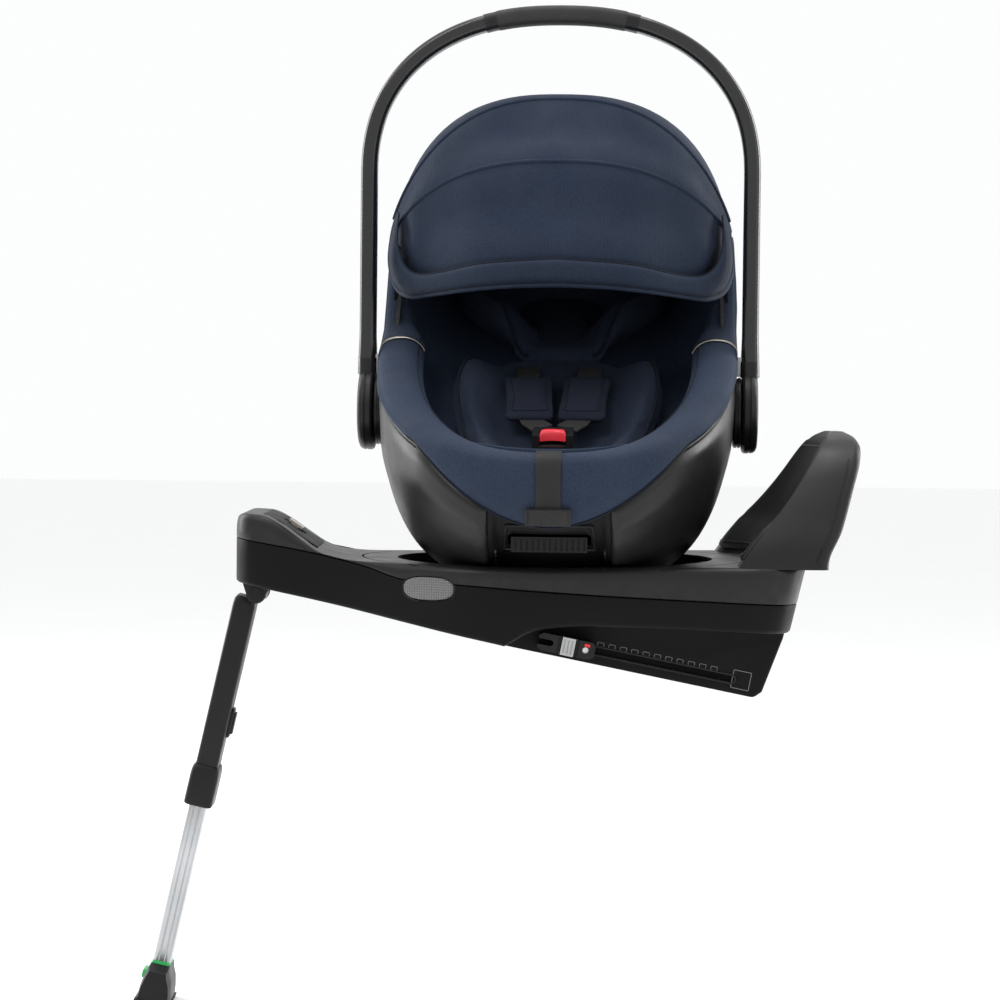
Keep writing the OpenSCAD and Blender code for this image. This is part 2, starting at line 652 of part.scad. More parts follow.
// Room for the rim of the swivel dish as the carrier turns
module base_clearance() {
    rotate_extrude($fn = 128) translate([dish_radius - 2, 0]) square([200, top_z + 2]);
}
module fairing_left() color("#343434") in_carrier() fairing(-1);
module fairing_right() color("#343434") in_carrier() fairing(1);
module hub() {
    translate([0, pivot_y, pivot_z]) {
        along_x(yoke_r - 6, hub_x[0], hub_x[1]);
        along_x(14, hub_x[0] - 11, hub_x[0]);
        along_x(axle_r, hub_x[1], yoke_x[1] - 9);
    }
}
module hub_right() color("#2a2a2a") in_carrier() hub();
module hub_left() color("#2a2a2a") in_carrier() mirror([1, 0, 0]) hub();
module dock_bars() color("#b9bcbe") in_carrier() for (side = [-1, 1]) translate([0, side * bar_y, 0]) {
    translate([0, 0, bar_z]) along_x(bar_r, -bar_half, bar_half);
    for (x = [-bar_half, bar_half]) translate([x, 0, bar_z]) {
        sphere(r = bar_r);
        cylinder(r = bar_r, h = shell_bottom_z - bar_z);
    }
}
module rim_trim() color("#a39c93") in_carrier() for (side = [-1, 1]) {
    angles = [for (i = [0:14]) mix(-52, 8, i / 14)];
    points = [for (t = side > 0 ? angles : reversed(angles)) let (a = side > 0 ? t : 180 - t)
        shell_point(a, drape_v(a) + 0.015, 3.2)];
    loft(swept(points, flat_section(4, 2.4), [0, 0, 1]));
}
module seat_cover() {
    v_steps = [0, 0.15, 0.32, 0.5, 0.7, 0.88, 1];
    hang = [1, 0.8, 0.6, 0.4, 0.2, 0];
    function ring(z, inset) = [
        for (t = rim_angles()) let (p = rim_xy(t, inset)) [p[0], p[1], top_edge_z(t) + z]
    ];
    back = concat(
        [for (h = hang) [for (t = rim_angles()) shell_point(t, h * drape_v(t), skin_gap)]],
        [ring(gap, 2)],
        [for (v = v_steps) [for (t = rim_angles()) tub_point(t, v, shell_wall + 1.8 * skin_gap)
            + [0, 0, v > 0 ? 0 : gap]]],
        [for (f = floor_shares) [for (t = rim_angles()) tub_floor(t, f, shell_wall + 1.8 * skin_gap)]]
    );
    face = concat(
        [for (h = hang) [for (t = rim_angles()) shell_point(t, h * drape_v(t), mix(8, 5, h))]],
        [ring(rim_drop, -3)],
        [for (v = v_steps) [for (t = rim_angles()) tub_point(t, v, shell_wall + cover_layer)
            + [0, 0, v > 0 ? 0 : rim_drop - 1]]],
        [for (f = floor_shares) [for (t = rim_angles()) tub_floor(t, f, shell_wall + cover_layer)]]
    );
    color("#2b3a55") in_carrier() difference() {
        thick_bowl(back, face);
        for (side = [0, 1]) mirror([side, 0, 0]) bracket_slit();
    }
}
// Slit in the cover that the hood's bracket stands in
module bracket_slit() {
    x = shell_half_width - 3.4;
    translate([0, hood_y, 0]) block([x - gap, -9 - gap, 0], [x + 2.6 + gap, 9 + gap, hood_z + big]);
}
// Pads that lie on the seat surface: a raised edge round a lower middle
function cover_top() = shell_wall + cover_layer + skin_gap;
function side_share(t) = smooth((abs(cos(t)) - 0.5) / 0.4);
module floor_pad(mid_y, half, low, high, e) {
    function at(t, f, h) = let (
        p = [0, mid_y] + superellipse(half, t, e) * f,
        raised = h > low ? mix(low, h, side_share(t)) : h
    ) [p[0], p[1], floor_z(p[1]) + cover_top() + raised];
    shares = [1, 0.98, 0.86, 0.68, 0.5, 0.25];
    crown = [
        [1, high * 0.6], [0.97, high * 0.9], [0.86, high], [0.68, high * 0.75], [0.5, low], [0.25, low]
    ];
    thick_bowl(
        [for (f = shares) [for (t = rim_angles()) at(t, f, f > 0.99 ? 6 : 0)]],
        [for (q = crown) [for (t = rim_angles()) at(t, q[0], q[1])]]
    );
}
module seat_insert() color("#26334c") in_carrier() floor_pad(-30, [95, 148], 13, 30, 2.8);
module headrest_cushion() color("#2b3a55") in_carrier() floor_pad(210, [102, 83], 18, 60, 3);
module buckle_body() color("#2b2b2b") in_carrier() translate([0, -112, 232]) rotate([10, 0, 0]) difference() {
    block([-22, -26, -9], [22, 24, 9]);
    block([-15, -27, -3], [15, 2, 10]);
}
module buckle_button() color("#e0404a") in_carrier() translate([0, -112, 232]) rotate([10, 0, 0])
    block([-14.6, -25, 0], [14.6, 1.6, 11]);
module buckle_tongues() color("#3a3a3a") in_carrier() for (x = [-1, 1]) translate([0, -112, 232])
    rotate([10, 0, 0]) mirror([x > 0 ? 0 : 1, 0, 0]) block([1.5, 24.4, -4], [20, 52, 4]);
strap_section = flat_section(25, 1.6);
module harness_straps() color("#3c3c3c") in_carrier() {
    for (side = [-1, 1]) {
        loft(swept([
            [side * 13, -58.2, 241.2], [side * 14, -54.4, 242.9], [side * 20, -49.6, 245.2],
            [side * 23, -45, 247.2]
        ], strap_section, [1, 0, 0]));
    }
    loft(swept([[0, -118, 206], [0, -121, 212], [0, -121, 220]], strap_section, [1, 0, 0]));
}
module shoulder_pads() color("#10182a") in_carrier() for (side = [-1, 1]) {
    loft(swept([
        [side * 28.5, -40, 252], [side * 30, -5, 266], [side * 32, 28, 282], [side * 34, 60, 298]
    ], flat_section(52, 11), [1, 0, 0]));
}
module adjuster_strap() color("#242424") in_carrier() {
    loft(swept([
        [0, -216, 216.5], [0, -232, 224.5], [0, -250, 228.6], [0, -266, 227.4], [0, -275, 217],
        [0, -275.5, 205], [0, -274, 182]
    ], flat_section(25, 1.8), [1, 0, 0]));
    loft(swept([[0, -273.8, 181.6], [0, -271, 168], [0, -267, 152]], flat_section(38, 4.4), [1, 0, 0]));
}
module carrier_release_lever() color("#333333") in_carrier() difference() {
    block([-40, -215, 115], [40, -197, 131]);
    for (x = [-36:6:36]) block([x, -240, 117], [x + 2, -213, 129]);
}
module adapter_tab() {
    block([203.4, pivot_y - 13, pivot_z + yoke_r - 5], [206.4, pivot_y + 13, pivot_z + yoke_r + 12]);
    block([203.4, pivot_y - 13, pivot_z + yoke_r + 12], [207.4, pivot_y + 13, pivot_z + yoke_r + 17]);
}
module adapter_tab_right() color("#b0b0ae") in_carrier() adapter_tab();
module adapter_tab_left() color("#b0b0ae") in_carrier() mirror([1, 0, 0]) adapter_tab();

// ============================ handle ===========================================
function handle_arch(inset) = let (
    a = handle_half_width - inset,
    b = handle_top_z - handle_straight_z - inset
) [for (i = [0:32]) [0, handle_straight_z] + superellipse([a, b], i * 180 / 32, handle_exp)];
module handle_outline(inset_out, inset_in) {
    low = pivot_z + yoke_r - 8;
    polygon(concat(
        [[handle_half_width - inset_out, low]], handle_arch(inset_out),
        [[inset_out - handle_half_width, low]], [[inset_in - handle_half_width, low]],
        reversed(handle_arch(inset_in)), [[handle_half_width - inset_in, low]]
    ));
}
module handle_plate(inset_out, inset_in, depth) {
    translate([0, pivot_y, 0]) rotate([90, 0, 0]) linear_extrude(height = depth, center = true)
        handle_outline(inset_out, inset_in);
}
module handle_bar() color("#2b2b2b") in_carrier() difference() {
    handle_plate(0, handle_thickness, handle_depth);
    translate([0, pivot_y, pivot_z]) along_x(yoke_r + gap, -big, big);
    intersection() {
        difference() {
            handle_plate(-9, handle_thickness + 9, handle_depth + 9);
            handle_plate(1.6, handle_thickness - 1.6, handle_depth - 3.2);
        }
        block([-grip_half - gap, -200, handle_straight_z], [grip_half + gap, 300, big]);
    }
}
module handle_grip() color("#1e1e1e") in_carrier() intersection() {
    difference() {
        handle_plate(-0.4, handle_thickness + 0.8, handle_depth + 1);
        handle_plate(1.4, handle_thickness - 1.4, handle_depth - 2.8);
    }
    block([-grip_half, -200, handle_straight_z], [grip_half, 300, big]);
}
module yoke() {
    translate([0, pivot_y, pivot_z]) difference() {
        union() {
            along_x(yoke_r, yoke_x[0], yoke_x[1] - 2);
            along_x(yoke_r - 3, yoke_x[1] - 2, yoke_x[1]);
        }
        along_x(axle_r + fit, 0, 300);
        along_x(button_r + fit, yoke_x[1] - 6, 300);
    }
}
module handle_yokes() color("#323232") in_carrier() {
    yoke();
    mirror([1, 0, 0]) yoke();
}
module hub_button() { translate([0, pivot_y, pivot_z]) along_x(button_r, yoke_x[1] - 2, yoke_x[1] + 1.4); }
module handle_button_right() color("#4a4a4a") in_carrier() hub_button();
module handle_button_left() color("#4a4a4a") in_carrier() mirror([1, 0, 0]) hub_button();

// ============================ hood =============================================
hood_steps = 20;
function bow_x(k) = [for (i = [0:hood_steps]) bow_half(k) * sin(mix(-90, 90, i / hood_steps))];
module hood_bow(k) {
    half = bow_half(k);
    points = [for (x = bow_x(k)) about_pivot(x, max(4, hood_r(x, half, bow_radius(k))), bow_angle[k])];
    axis = [0, sin(bow_angle[k]), cos(bow_angle[k])];
    in_carrier() difference() {
        union() {
            loft(swept(points, round_section(bow_rod_r), axis));
            for (side = [-1, 1]) translate([side * half, hood_y, hood_z]) along_x(7, -2.4, 2.4);
        }
        translate([0, hood_y, hood_z]) along_x(3 + fit, -big, big);
    }
}
module hood_bow_front() color("#1c1c1c") hood_bow(0);
module hood_bow_mid() color("#1c1c1c") hood_bow(1);
module hood_bow_rear() color("#1c1c1c") hood_bow(2);
// The fabric runs over the bows and back to the rim round the head end: f is 0 at the front
// hem, 1 at the rear bow and 2 at the rim, u runs from -1 to 1 across, in is the depth inwards
hood_ease = 8;
hood_edge = 0.99;           // the fabric stops this share of the way out to the pivots
function hood_point(f, u, in) = let (
    half = hood_half_width + 4 - in,
    angle = mix(bow_angle[0] - 2, bow_angle[2], min(1, f)),
    r = (hood_radius - in) * hood_r(u, 1, 1) + hood_ease - in,
    back = clamp01(f - 1),
    edge = rim_xy(90 - 72 * u, in - 4),
    ahead = about_pivot(half * u, r, angle),
    p = ahead + ([edge[0], edge[1], head_rim_z + hood_ease - in] - ahead) * back
) p + [0, 0, 58 * sin(180 * pow(back, 0.75)) * pow(max(0, 1 - u * u), 0.8)];
module hood_fabric() color("#2b3a55") in_carrier() {
    across = [for (i = [0:24]) hood_edge * sin(mix(-90, 90, i / 24))];
    along = [0, 0.2, 0.4, 0.5, 0.6, 0.8, 1, 1.12, 1.25, 1.4, 1.55, 1.7, 1.85, 2];
    loft([for (f = along) concat(
        [for (u = across) hood_point(f, u, 0)],
        [for (u = reversed(across)) hood_point(f, u, 1.8)]
    )]);
}

base_lower_tray();
base_upper_cover();
base_chassis();
rebound_shell();
rebound_pad();
nose_panel();
isofix_rails();
base_screws();
leg_bracket();
leg_hinge_pin();
turntable_glide_ring();
turntable_retainer();
turntable_disc();
dock_hooks();
leg_upper_tube();
leg_collar();
leg_lower_tube();
leg_foot();
leg_foot_sole();
leg_foot_indicator();
leg_height_button();
isofix_crossbar();
connector_near();
connector_flag_near();
connector_sleeve_near();
connector_far();
connector_flag_far();
connector_sleeve_far();
rotation_button_near();
rotation_button_far();
nose_release_lever();
carrier_shell();
seat_tub();
fairing_left();
fairing_right();
hub_left();
hub_right();
dock_bars();
rim_trim();
seat_cover();
seat_insert();
buckle_body();
harness_straps();
buckle_tongues();
adjuster_strap();
carrier_release_lever();
adapter_tab_left();
adapter_tab_right();
buckle_button();
handle_bar();
handle_grip();
handle_yokes();
handle_button_left();
handle_button_right();
headrest_cushion();
shoulder_pads();
hood_bow_rear();
hood_bow_mid();
hood_bow_front();
hood_fabric();
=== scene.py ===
"""Infant carrier with handle and hood on a swivelling vehicle base: the finished pieces round the CAD frame.

Lengths in the shape code are millimetres; every mesh is scaled to metres when it is made.
The carrier's pieces are built straight and then turned by its swivel angle, as in the CAD model.
"""
import json
import math

import bmesh
import bpy
import numpy as np
from mathutils import Matrix, Vector
from mathutils.bvhtree import BVHTree
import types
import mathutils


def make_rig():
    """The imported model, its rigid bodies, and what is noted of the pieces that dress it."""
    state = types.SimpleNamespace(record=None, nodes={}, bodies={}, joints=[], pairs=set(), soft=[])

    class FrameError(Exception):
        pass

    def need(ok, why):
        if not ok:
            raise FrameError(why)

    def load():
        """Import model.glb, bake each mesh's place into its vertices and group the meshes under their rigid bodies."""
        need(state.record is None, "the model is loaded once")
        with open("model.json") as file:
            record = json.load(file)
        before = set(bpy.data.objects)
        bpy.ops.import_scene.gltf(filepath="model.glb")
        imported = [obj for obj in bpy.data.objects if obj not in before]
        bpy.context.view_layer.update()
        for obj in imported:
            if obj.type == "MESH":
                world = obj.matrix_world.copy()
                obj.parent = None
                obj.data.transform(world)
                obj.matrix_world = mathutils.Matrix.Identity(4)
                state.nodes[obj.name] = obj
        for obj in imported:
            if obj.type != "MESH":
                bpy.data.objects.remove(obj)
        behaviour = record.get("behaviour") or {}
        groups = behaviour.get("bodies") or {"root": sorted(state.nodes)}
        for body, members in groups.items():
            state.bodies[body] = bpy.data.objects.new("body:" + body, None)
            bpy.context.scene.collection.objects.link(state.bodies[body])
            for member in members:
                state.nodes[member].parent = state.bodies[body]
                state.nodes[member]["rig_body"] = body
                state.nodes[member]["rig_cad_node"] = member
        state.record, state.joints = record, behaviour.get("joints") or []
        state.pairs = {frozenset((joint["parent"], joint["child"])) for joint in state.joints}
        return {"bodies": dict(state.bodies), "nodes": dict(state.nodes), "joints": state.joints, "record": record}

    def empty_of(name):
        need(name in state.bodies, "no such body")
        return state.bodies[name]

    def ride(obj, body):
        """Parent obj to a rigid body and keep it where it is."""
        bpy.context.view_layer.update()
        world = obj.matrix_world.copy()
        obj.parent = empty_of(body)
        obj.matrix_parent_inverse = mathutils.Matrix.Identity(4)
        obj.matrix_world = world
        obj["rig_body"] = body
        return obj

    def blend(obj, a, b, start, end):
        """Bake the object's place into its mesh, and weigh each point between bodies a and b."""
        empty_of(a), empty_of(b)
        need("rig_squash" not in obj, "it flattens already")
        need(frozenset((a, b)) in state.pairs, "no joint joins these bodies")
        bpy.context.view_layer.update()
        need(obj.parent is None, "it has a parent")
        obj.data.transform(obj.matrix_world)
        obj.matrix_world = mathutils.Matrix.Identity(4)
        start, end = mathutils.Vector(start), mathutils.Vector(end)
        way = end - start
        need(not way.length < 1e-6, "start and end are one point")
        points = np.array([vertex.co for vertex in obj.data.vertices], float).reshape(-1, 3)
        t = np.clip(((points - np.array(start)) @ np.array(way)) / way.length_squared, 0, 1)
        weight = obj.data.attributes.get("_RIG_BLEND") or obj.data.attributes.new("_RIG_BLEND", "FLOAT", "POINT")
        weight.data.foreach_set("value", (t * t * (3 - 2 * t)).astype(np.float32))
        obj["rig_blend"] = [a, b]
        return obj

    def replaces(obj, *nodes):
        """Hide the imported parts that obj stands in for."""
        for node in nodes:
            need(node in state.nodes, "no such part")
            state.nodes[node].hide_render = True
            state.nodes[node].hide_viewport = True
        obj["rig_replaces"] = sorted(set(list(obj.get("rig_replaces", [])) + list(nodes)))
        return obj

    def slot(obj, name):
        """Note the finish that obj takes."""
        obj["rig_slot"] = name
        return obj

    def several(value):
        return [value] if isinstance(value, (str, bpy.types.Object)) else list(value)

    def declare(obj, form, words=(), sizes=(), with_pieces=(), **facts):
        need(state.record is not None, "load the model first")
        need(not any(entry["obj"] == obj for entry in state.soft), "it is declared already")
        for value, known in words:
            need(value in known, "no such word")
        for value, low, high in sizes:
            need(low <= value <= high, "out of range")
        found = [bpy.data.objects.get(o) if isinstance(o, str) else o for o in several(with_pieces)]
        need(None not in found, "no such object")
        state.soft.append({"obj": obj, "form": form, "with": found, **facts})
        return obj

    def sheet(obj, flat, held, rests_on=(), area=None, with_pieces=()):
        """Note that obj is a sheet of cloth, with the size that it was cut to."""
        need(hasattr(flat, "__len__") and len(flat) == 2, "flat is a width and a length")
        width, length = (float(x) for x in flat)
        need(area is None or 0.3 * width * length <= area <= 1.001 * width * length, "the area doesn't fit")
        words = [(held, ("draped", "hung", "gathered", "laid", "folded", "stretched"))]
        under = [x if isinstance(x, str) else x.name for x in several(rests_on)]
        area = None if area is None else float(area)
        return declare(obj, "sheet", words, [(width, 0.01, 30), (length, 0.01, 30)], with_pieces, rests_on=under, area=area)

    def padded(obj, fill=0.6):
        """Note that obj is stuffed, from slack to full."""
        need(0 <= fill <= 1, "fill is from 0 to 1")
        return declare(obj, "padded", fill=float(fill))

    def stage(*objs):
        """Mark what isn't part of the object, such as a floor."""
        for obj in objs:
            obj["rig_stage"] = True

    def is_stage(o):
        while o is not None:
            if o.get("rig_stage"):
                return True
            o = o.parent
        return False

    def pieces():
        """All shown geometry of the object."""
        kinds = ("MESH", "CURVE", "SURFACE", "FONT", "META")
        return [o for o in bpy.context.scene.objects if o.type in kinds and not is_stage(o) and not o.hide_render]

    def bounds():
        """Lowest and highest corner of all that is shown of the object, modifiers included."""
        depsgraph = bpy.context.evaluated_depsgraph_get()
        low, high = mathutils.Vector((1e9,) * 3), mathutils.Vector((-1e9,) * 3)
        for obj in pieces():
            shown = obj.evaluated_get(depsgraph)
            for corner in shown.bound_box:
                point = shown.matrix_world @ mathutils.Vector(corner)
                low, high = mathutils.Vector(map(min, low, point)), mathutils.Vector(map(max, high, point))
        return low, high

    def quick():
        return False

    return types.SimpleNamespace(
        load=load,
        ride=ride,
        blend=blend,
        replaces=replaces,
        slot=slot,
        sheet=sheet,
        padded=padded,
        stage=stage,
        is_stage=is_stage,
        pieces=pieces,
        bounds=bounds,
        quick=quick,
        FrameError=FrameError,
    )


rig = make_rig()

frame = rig.load()
cad_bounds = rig.bounds()
nodes = frame["nodes"]

# ------------------------------------------------------------------ driving dimensions
MM = 0.001
SLOPE_DEG = 11.3            # underside of the base
LEAN_DEG = 12.6             # support leg
YAW_DEG = -2.7              # carrier on its swivel
SLOPE = math.tan(math.radians(SLOPE_DEG))
CARRIER = Matrix.Rotation(math.radians(YAW_DEG), 4, "Z")
UNDERSIDE = Matrix.Rotation(math.radians(SLOPE_DEG), 4, "Y")
LEG_PIVOT = Vector((-332, 0, 56))
LEG = Matrix.Translation(LEG_PIVOT) @ Matrix.Rotation(math.radians(LEAN_DEG), 4, "Y")
STRAIGHT = Matrix.Identity(4)

BASE_HALF = 190             # widest half width of the base
TOP_Z = 97                  # flat top of the base
DISH_R = 176
DISH_Z = 70
LEG_LENGTH = 474
LEG_UPPER = 243
SHELL_HALF = (194, 338)     # half width and half length of the carrier's rim
SHELL_Y = 75                # its middle
SHELL_LOW = (88, 114)       # half sizes of its flat bottom
SHELL_LOW_Z = 90
FOOT_EXP, HEAD_EXP = 2.4, 2.8
FOOT_RIM_Z, HEAD_RIM_Z, RIM_SLOPE, RIM_DROP = 216, 478, 0.39, 8
TUB_HALF, TUB_Y, TUB_EXP = (128, 302), 85, 3
BIGHT = (-90, 168)
BACK_SLOPE, SEAT_SLOPE = 0.56, 0.16
WALL = 4
COVER_TOP = 11.8            # of the cover's face above the floor of the tub
HANDLE_HALF, HANDLE_TOP, HANDLE_BEND = 227, 720, 529
HANDLE_SECTION = (19, 32)
PIVOT = (60, 262)           # y and z of the handle's pivot
YOKE_X, YOKE_R = (208, 226), 46
HOOD_PIVOT = (130, 455)
HOOD_HALF, HOOD_R, HOOD_EXP, HOOD_EASE = 187, 188, 2.5, 8
BOWS = (-8, 25.5, 57)       # front, middle and rear bow, degrees up from the horizontal


# ------------------------------------------------------------------ numbers
def mix(a, b, f):
    return a + (b - a) * f


def clamp(f):
    return max(0.0, min(1.0, f))


def smooth(f):
    f = clamp(f)
    return f * f * (3 - 2 * f)


def power(v, p):
    return math.copysign(abs(v) ** p, v)


def steps(a, b, n):
    return [a + (b - a) * i / n for i in range(n + 1)]


def crowded(a, b, n):
    """n + 1 values from a to b, closer together near both ends."""
    return [mix(a, b, (1 - math.cos(math.pi * i / n)) / 2) for i in range(n + 1)]


def eased(table, x):
    """Value at x of a smooth curve through (x, value) pairs that never overshoots them."""
    if x <= table[0][0]:
        return table[0][1]
    if x >= table[-1][0]:
        return table[-1][1]
    run = [b[0] - a[0] for a, b in zip(table, table[1:])]
    rise = [(b[1] - a[1]) / h for a, b, h in zip(table, table[1:], run)]
    i = next(k for k, h in enumerate(run) if x <= table[k + 1][0])

    def slope(k):
        if k == 0:
            return rise[0]
        if k == len(rise):
            return rise[-1]
        if rise[k - 1] * rise[k] <= 0:
            return 0.0
        return 2 * rise[k - 1] * rise[k] / (rise[k - 1] + rise[k])

    h, f = run[i], (x - table[i][0]) / run[i]
    a, b = table[i][1], table[i + 1][1]
    return (
        a * (1 + 2 * f) * (1 - f) ** 2
        + slope(i) * h * f * (1 - f) ** 2
        + b * f * f * (3 - 2 * f)
        + slope(i + 1) * h * f * f * (f - 1)
    )


def spline(points, n):
    """n + 1 points evenly along a smooth curve through the points."""
    p = [Vector(q) for q in points]
    p = [2 * p[0] - p[1]] + p + [2 * p[-1] - p[-2]]
    fine = []
    for i in range(1, len(p) - 2):
        for k in range(24):
            t = k / 24
            fine.append(0.5 * (
                2 * p[i] + (p[i + 1] - p[i - 1]) * t
                + (2 * p[i - 1] - 5 * p[i] + 4 * p[i + 1] - p[i + 2]) * t * t
                + (3 * p[i] - p[i - 1] - 3 * p[i + 1] + p[i + 2]) * t ** 3
            ))
    fine.append(p[-2])
    return spread(fine, n)


def spread(points, n):
    """n + 1 points evenly along a line of points."""
    p = [Vector(q) for q in points]
    far = [0.0]
    for a, b in zip(p, p[1:]):
        far.append(far[-1] + (b - a).length)
    made, i = [], 0
    for k in range(n + 1):
        want = far[-1] * k / n
        while i < len(p) - 2 and far[i + 1] < want:
            i += 1
        gap = far[i + 1] - far[i]
        made.append(p[i].lerp(p[i + 1], clamp((want - far[i]) / gap if gap else 0)))
    return made


def length_of(points):
    return sum((Vector(b) - Vector(a)).length for a, b in zip(points, points[1:]))


# ------------------------------------------------------------------ mesh making
def skin(rings, closed=True, caps=True):
    """Quads through rings of equal length; closed joins each ring's ends, caps close the two ends."""
    n, k = len(rings[0]), len(rings)
    points = [p for ring in rings for p in ring]
    faces = []
    for r in range(k - 1):
        for i in range(n if closed else n - 1):
            j = (i + 1) % n
            faces.append((r * n + i, r * n + j, (r + 1) * n + j, (r + 1) * n + i))
    if caps and closed:
        for ring, back in ((0, True), (k - 1, False)):
            middle = sum((Vector(p) for p in rings[ring]), Vector()) / n
            points.append(tuple(middle))
            c = len(points) - 1
            for i in range(n):
                a, b = ring * n + i, ring * n + (i + 1) % n
                faces.append((b, a, c) if back else (a, b, c))
    return points, faces


def pad_rings(at, outline, heights):
    """Rings of a closed pad from its under face, over its rim, to its middle.

    at(t, f, h) is the point at angle t, share f of the way out and height h.
    """
    return [[at(t, f, h) for t in outline] for f, h in heights]


def two_sided(front, back):
    """Closed skin between two grids of equal size, joined round their borders."""
    rows, cols = len(front), len(front[0])
    points = [p for row in front for p in row] + [p for row in back for p in row]
    shift = rows * cols
    faces = []
    for r in range(rows - 1):
        for c in range(cols - 1):
            a = r * cols + c
            faces.append((a, a + 1, a + cols + 1, a + cols))
            faces.append((shift + a, shift + a + cols, shift + a + cols + 1, shift + a + 1))
    border = (
        [c for c in range(cols)]
        + [r * cols + cols - 1 for r in range(1, rows)]
        + [(rows - 1) * cols + c for c in range(cols - 2, -1, -1)]
        + [r * cols for r in range(rows - 2, 0, -1)]
    )
    for a, b in zip(border, border[1:] + border[:1]):
        faces.append((b, a, shift + a, shift + b))
    return points, faces


def frames_along(path, side):
    """For each point of a path: across and out directions square to it, across kept near side."""
    p = [Vector(q) for q in path]
    made = []
    for i, q in enumerate(p):
        t = (p[min(i + 1, len(p) - 1)] - p[max(i - 1, 0)]).normalized()
        keep = Vector(side(i) if callable(side) else side)
        out = t.cross(keep).normalized()
        made.append((out.cross(t).normalized(), out))
    return made


def swept(path, section, side, scale=None):
    """Rings of a section, a list of (across, out) pairs, carried along a path."""
    rings = []
    for i, (q, (across, out)) in enumerate(zip(path, frames_along(path, side))):
        s = scale(i / (len(path) - 1)) if scale else 1.0
        rings.append([tuple(Vector(q) + across * a * s + out * b * s) for a, b in section])
    return rings


def rounded(w, h, e=2.0, n=16):
    """Closed superellipse section: e is 2 for an ellipse and larger for a squarer one."""
    return [
        (w / 2 * power(math.cos(a), 2 / e), h / 2 * power(math.sin(a), 2 / e))
        for a in (2 * math.pi * i / n for i in range(n))
    ]


def box_ring(w, h, r, n=5):
    """Closed rectangle w by h with corners of radius r."""
    made = []
    for cx, cy, start in ((w / 2 - r, h / 2 - r, 0), (r - w / 2, h / 2 - r, 90),
                          (r - w / 2, r - h / 2, 180), (w / 2 - r, r - h / 2, 270)):
        for a in steps(start, start + 90, n):
            made.append((cx + r * math.cos(math.radians(a)), cy + r * math.sin(math.radians(a))))
    return made


def lathe_x(profile, centre, n=64):
    """Solid turned about a line along X: profile is a list of (x, radius) pairs."""
    return [
        [(x, centre[0] + r * math.cos(a), centre[1] + r * math.sin(a))
         for a in (2 * math.pi * i / n for i in range(n))]
        for x, r in profile
    ]


def mirrored(rings):
    return [[(-p[0], p[1], p[2]) for p in ring] for ring in rings]


def flipped(rings):
    return [[(p[0], -p[1], p[2]) for p in ring] for ring in rings]


def shade(obj, angle=38):
    obj.data.polygons.foreach_set("use_smooth", [True] * len(obj.data.polygons))
    obj.data.set_sharp_from_angle(angle=math.radians(angle))


def made_object(name, points, faces, place=STRAIGHT):
    mesh = bpy.data.meshes.new(name)
    mesh.from_pydata([tuple(p) for p in points], [], faces)
    mesh.transform(Matrix.Scale(MM, 4) @ place)
    obj = bpy.data.objects.new(name, mesh)
    bpy.context.scene.collection.objects.link(obj)
    tidy = bmesh.new()
    tidy.from_mesh(mesh)
    bmesh.ops.remove_doubles(tidy, verts=tidy.verts, dist=2e-6)
    bmesh.ops.recalc_face_normals(tidy, faces=tidy.faces)
    tidy.to_mesh(mesh)
    tidy.free()
    return obj


def several(*shapes):
    """Several (points, faces) shapes as one."""
    points, faces = [], []
    for p, f in shapes:
        shift = len(points)
        points.extend(p)
        faces.extend(tuple(i + shift for i in face) for face in f)
    return points, faces


def apply_all(obj):
    bpy.context.view_layer.update()
    graph = bpy.context.evaluated_depsgraph_get()
    mesh = bpy.data.meshes.new_from_object(obj.evaluated_get(graph))
    obj.modifiers.clear()
    obj.data = mesh
    return obj


def bevel(obj, width, segments=3, angle=40):
    m = obj.modifiers.new("edges", "BEVEL")
    m.width, m.segments, m.angle_limit = width * MM, segments, math.radians(angle)
    m.limit_method = "ANGLE"
    m.use_clamp_overlap = True
    return apply_all(obj)


def subdivide(obj, levels=1):
    m = obj.modifiers.new("smooth", "SUBSURF")
    m.levels = m.render_levels = levels
    return apply_all(obj)


def cut(obj, *cutters, how="DIFFERENCE"):
    for tool in cutters:
        m = obj.modifiers.new("cut", "BOOLEAN")
        m.operation, m.solver, m.object = how, "EXACT", tool
        apply_all(obj)
        bpy.data.objects.remove(tool)
    return obj


def finish_piece(obj, body, material, stands_for=(), slot=None, angle=38):
    shade(obj, angle)
    obj.data.materials.clear()
    obj.data.materials.append(material)
    if body:
        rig.ride(obj, body)
    if stands_for:
        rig.replaces(obj, *stands_for)
    if slot:
        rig.slot(obj, slot)
    return obj


def piece(name, shape, body, material, place=STRAIGHT, stands_for=(), slot=None, angle=38,
          round_edges=None, smoother=0):
    obj = made_object(name, *shape, place=place)
    if round_edges:
        bevel(obj, round_edges)
    if smoother:
        subdivide(obj, smoother)
    return finish_piece(obj, body, material, stands_for, slot, angle)


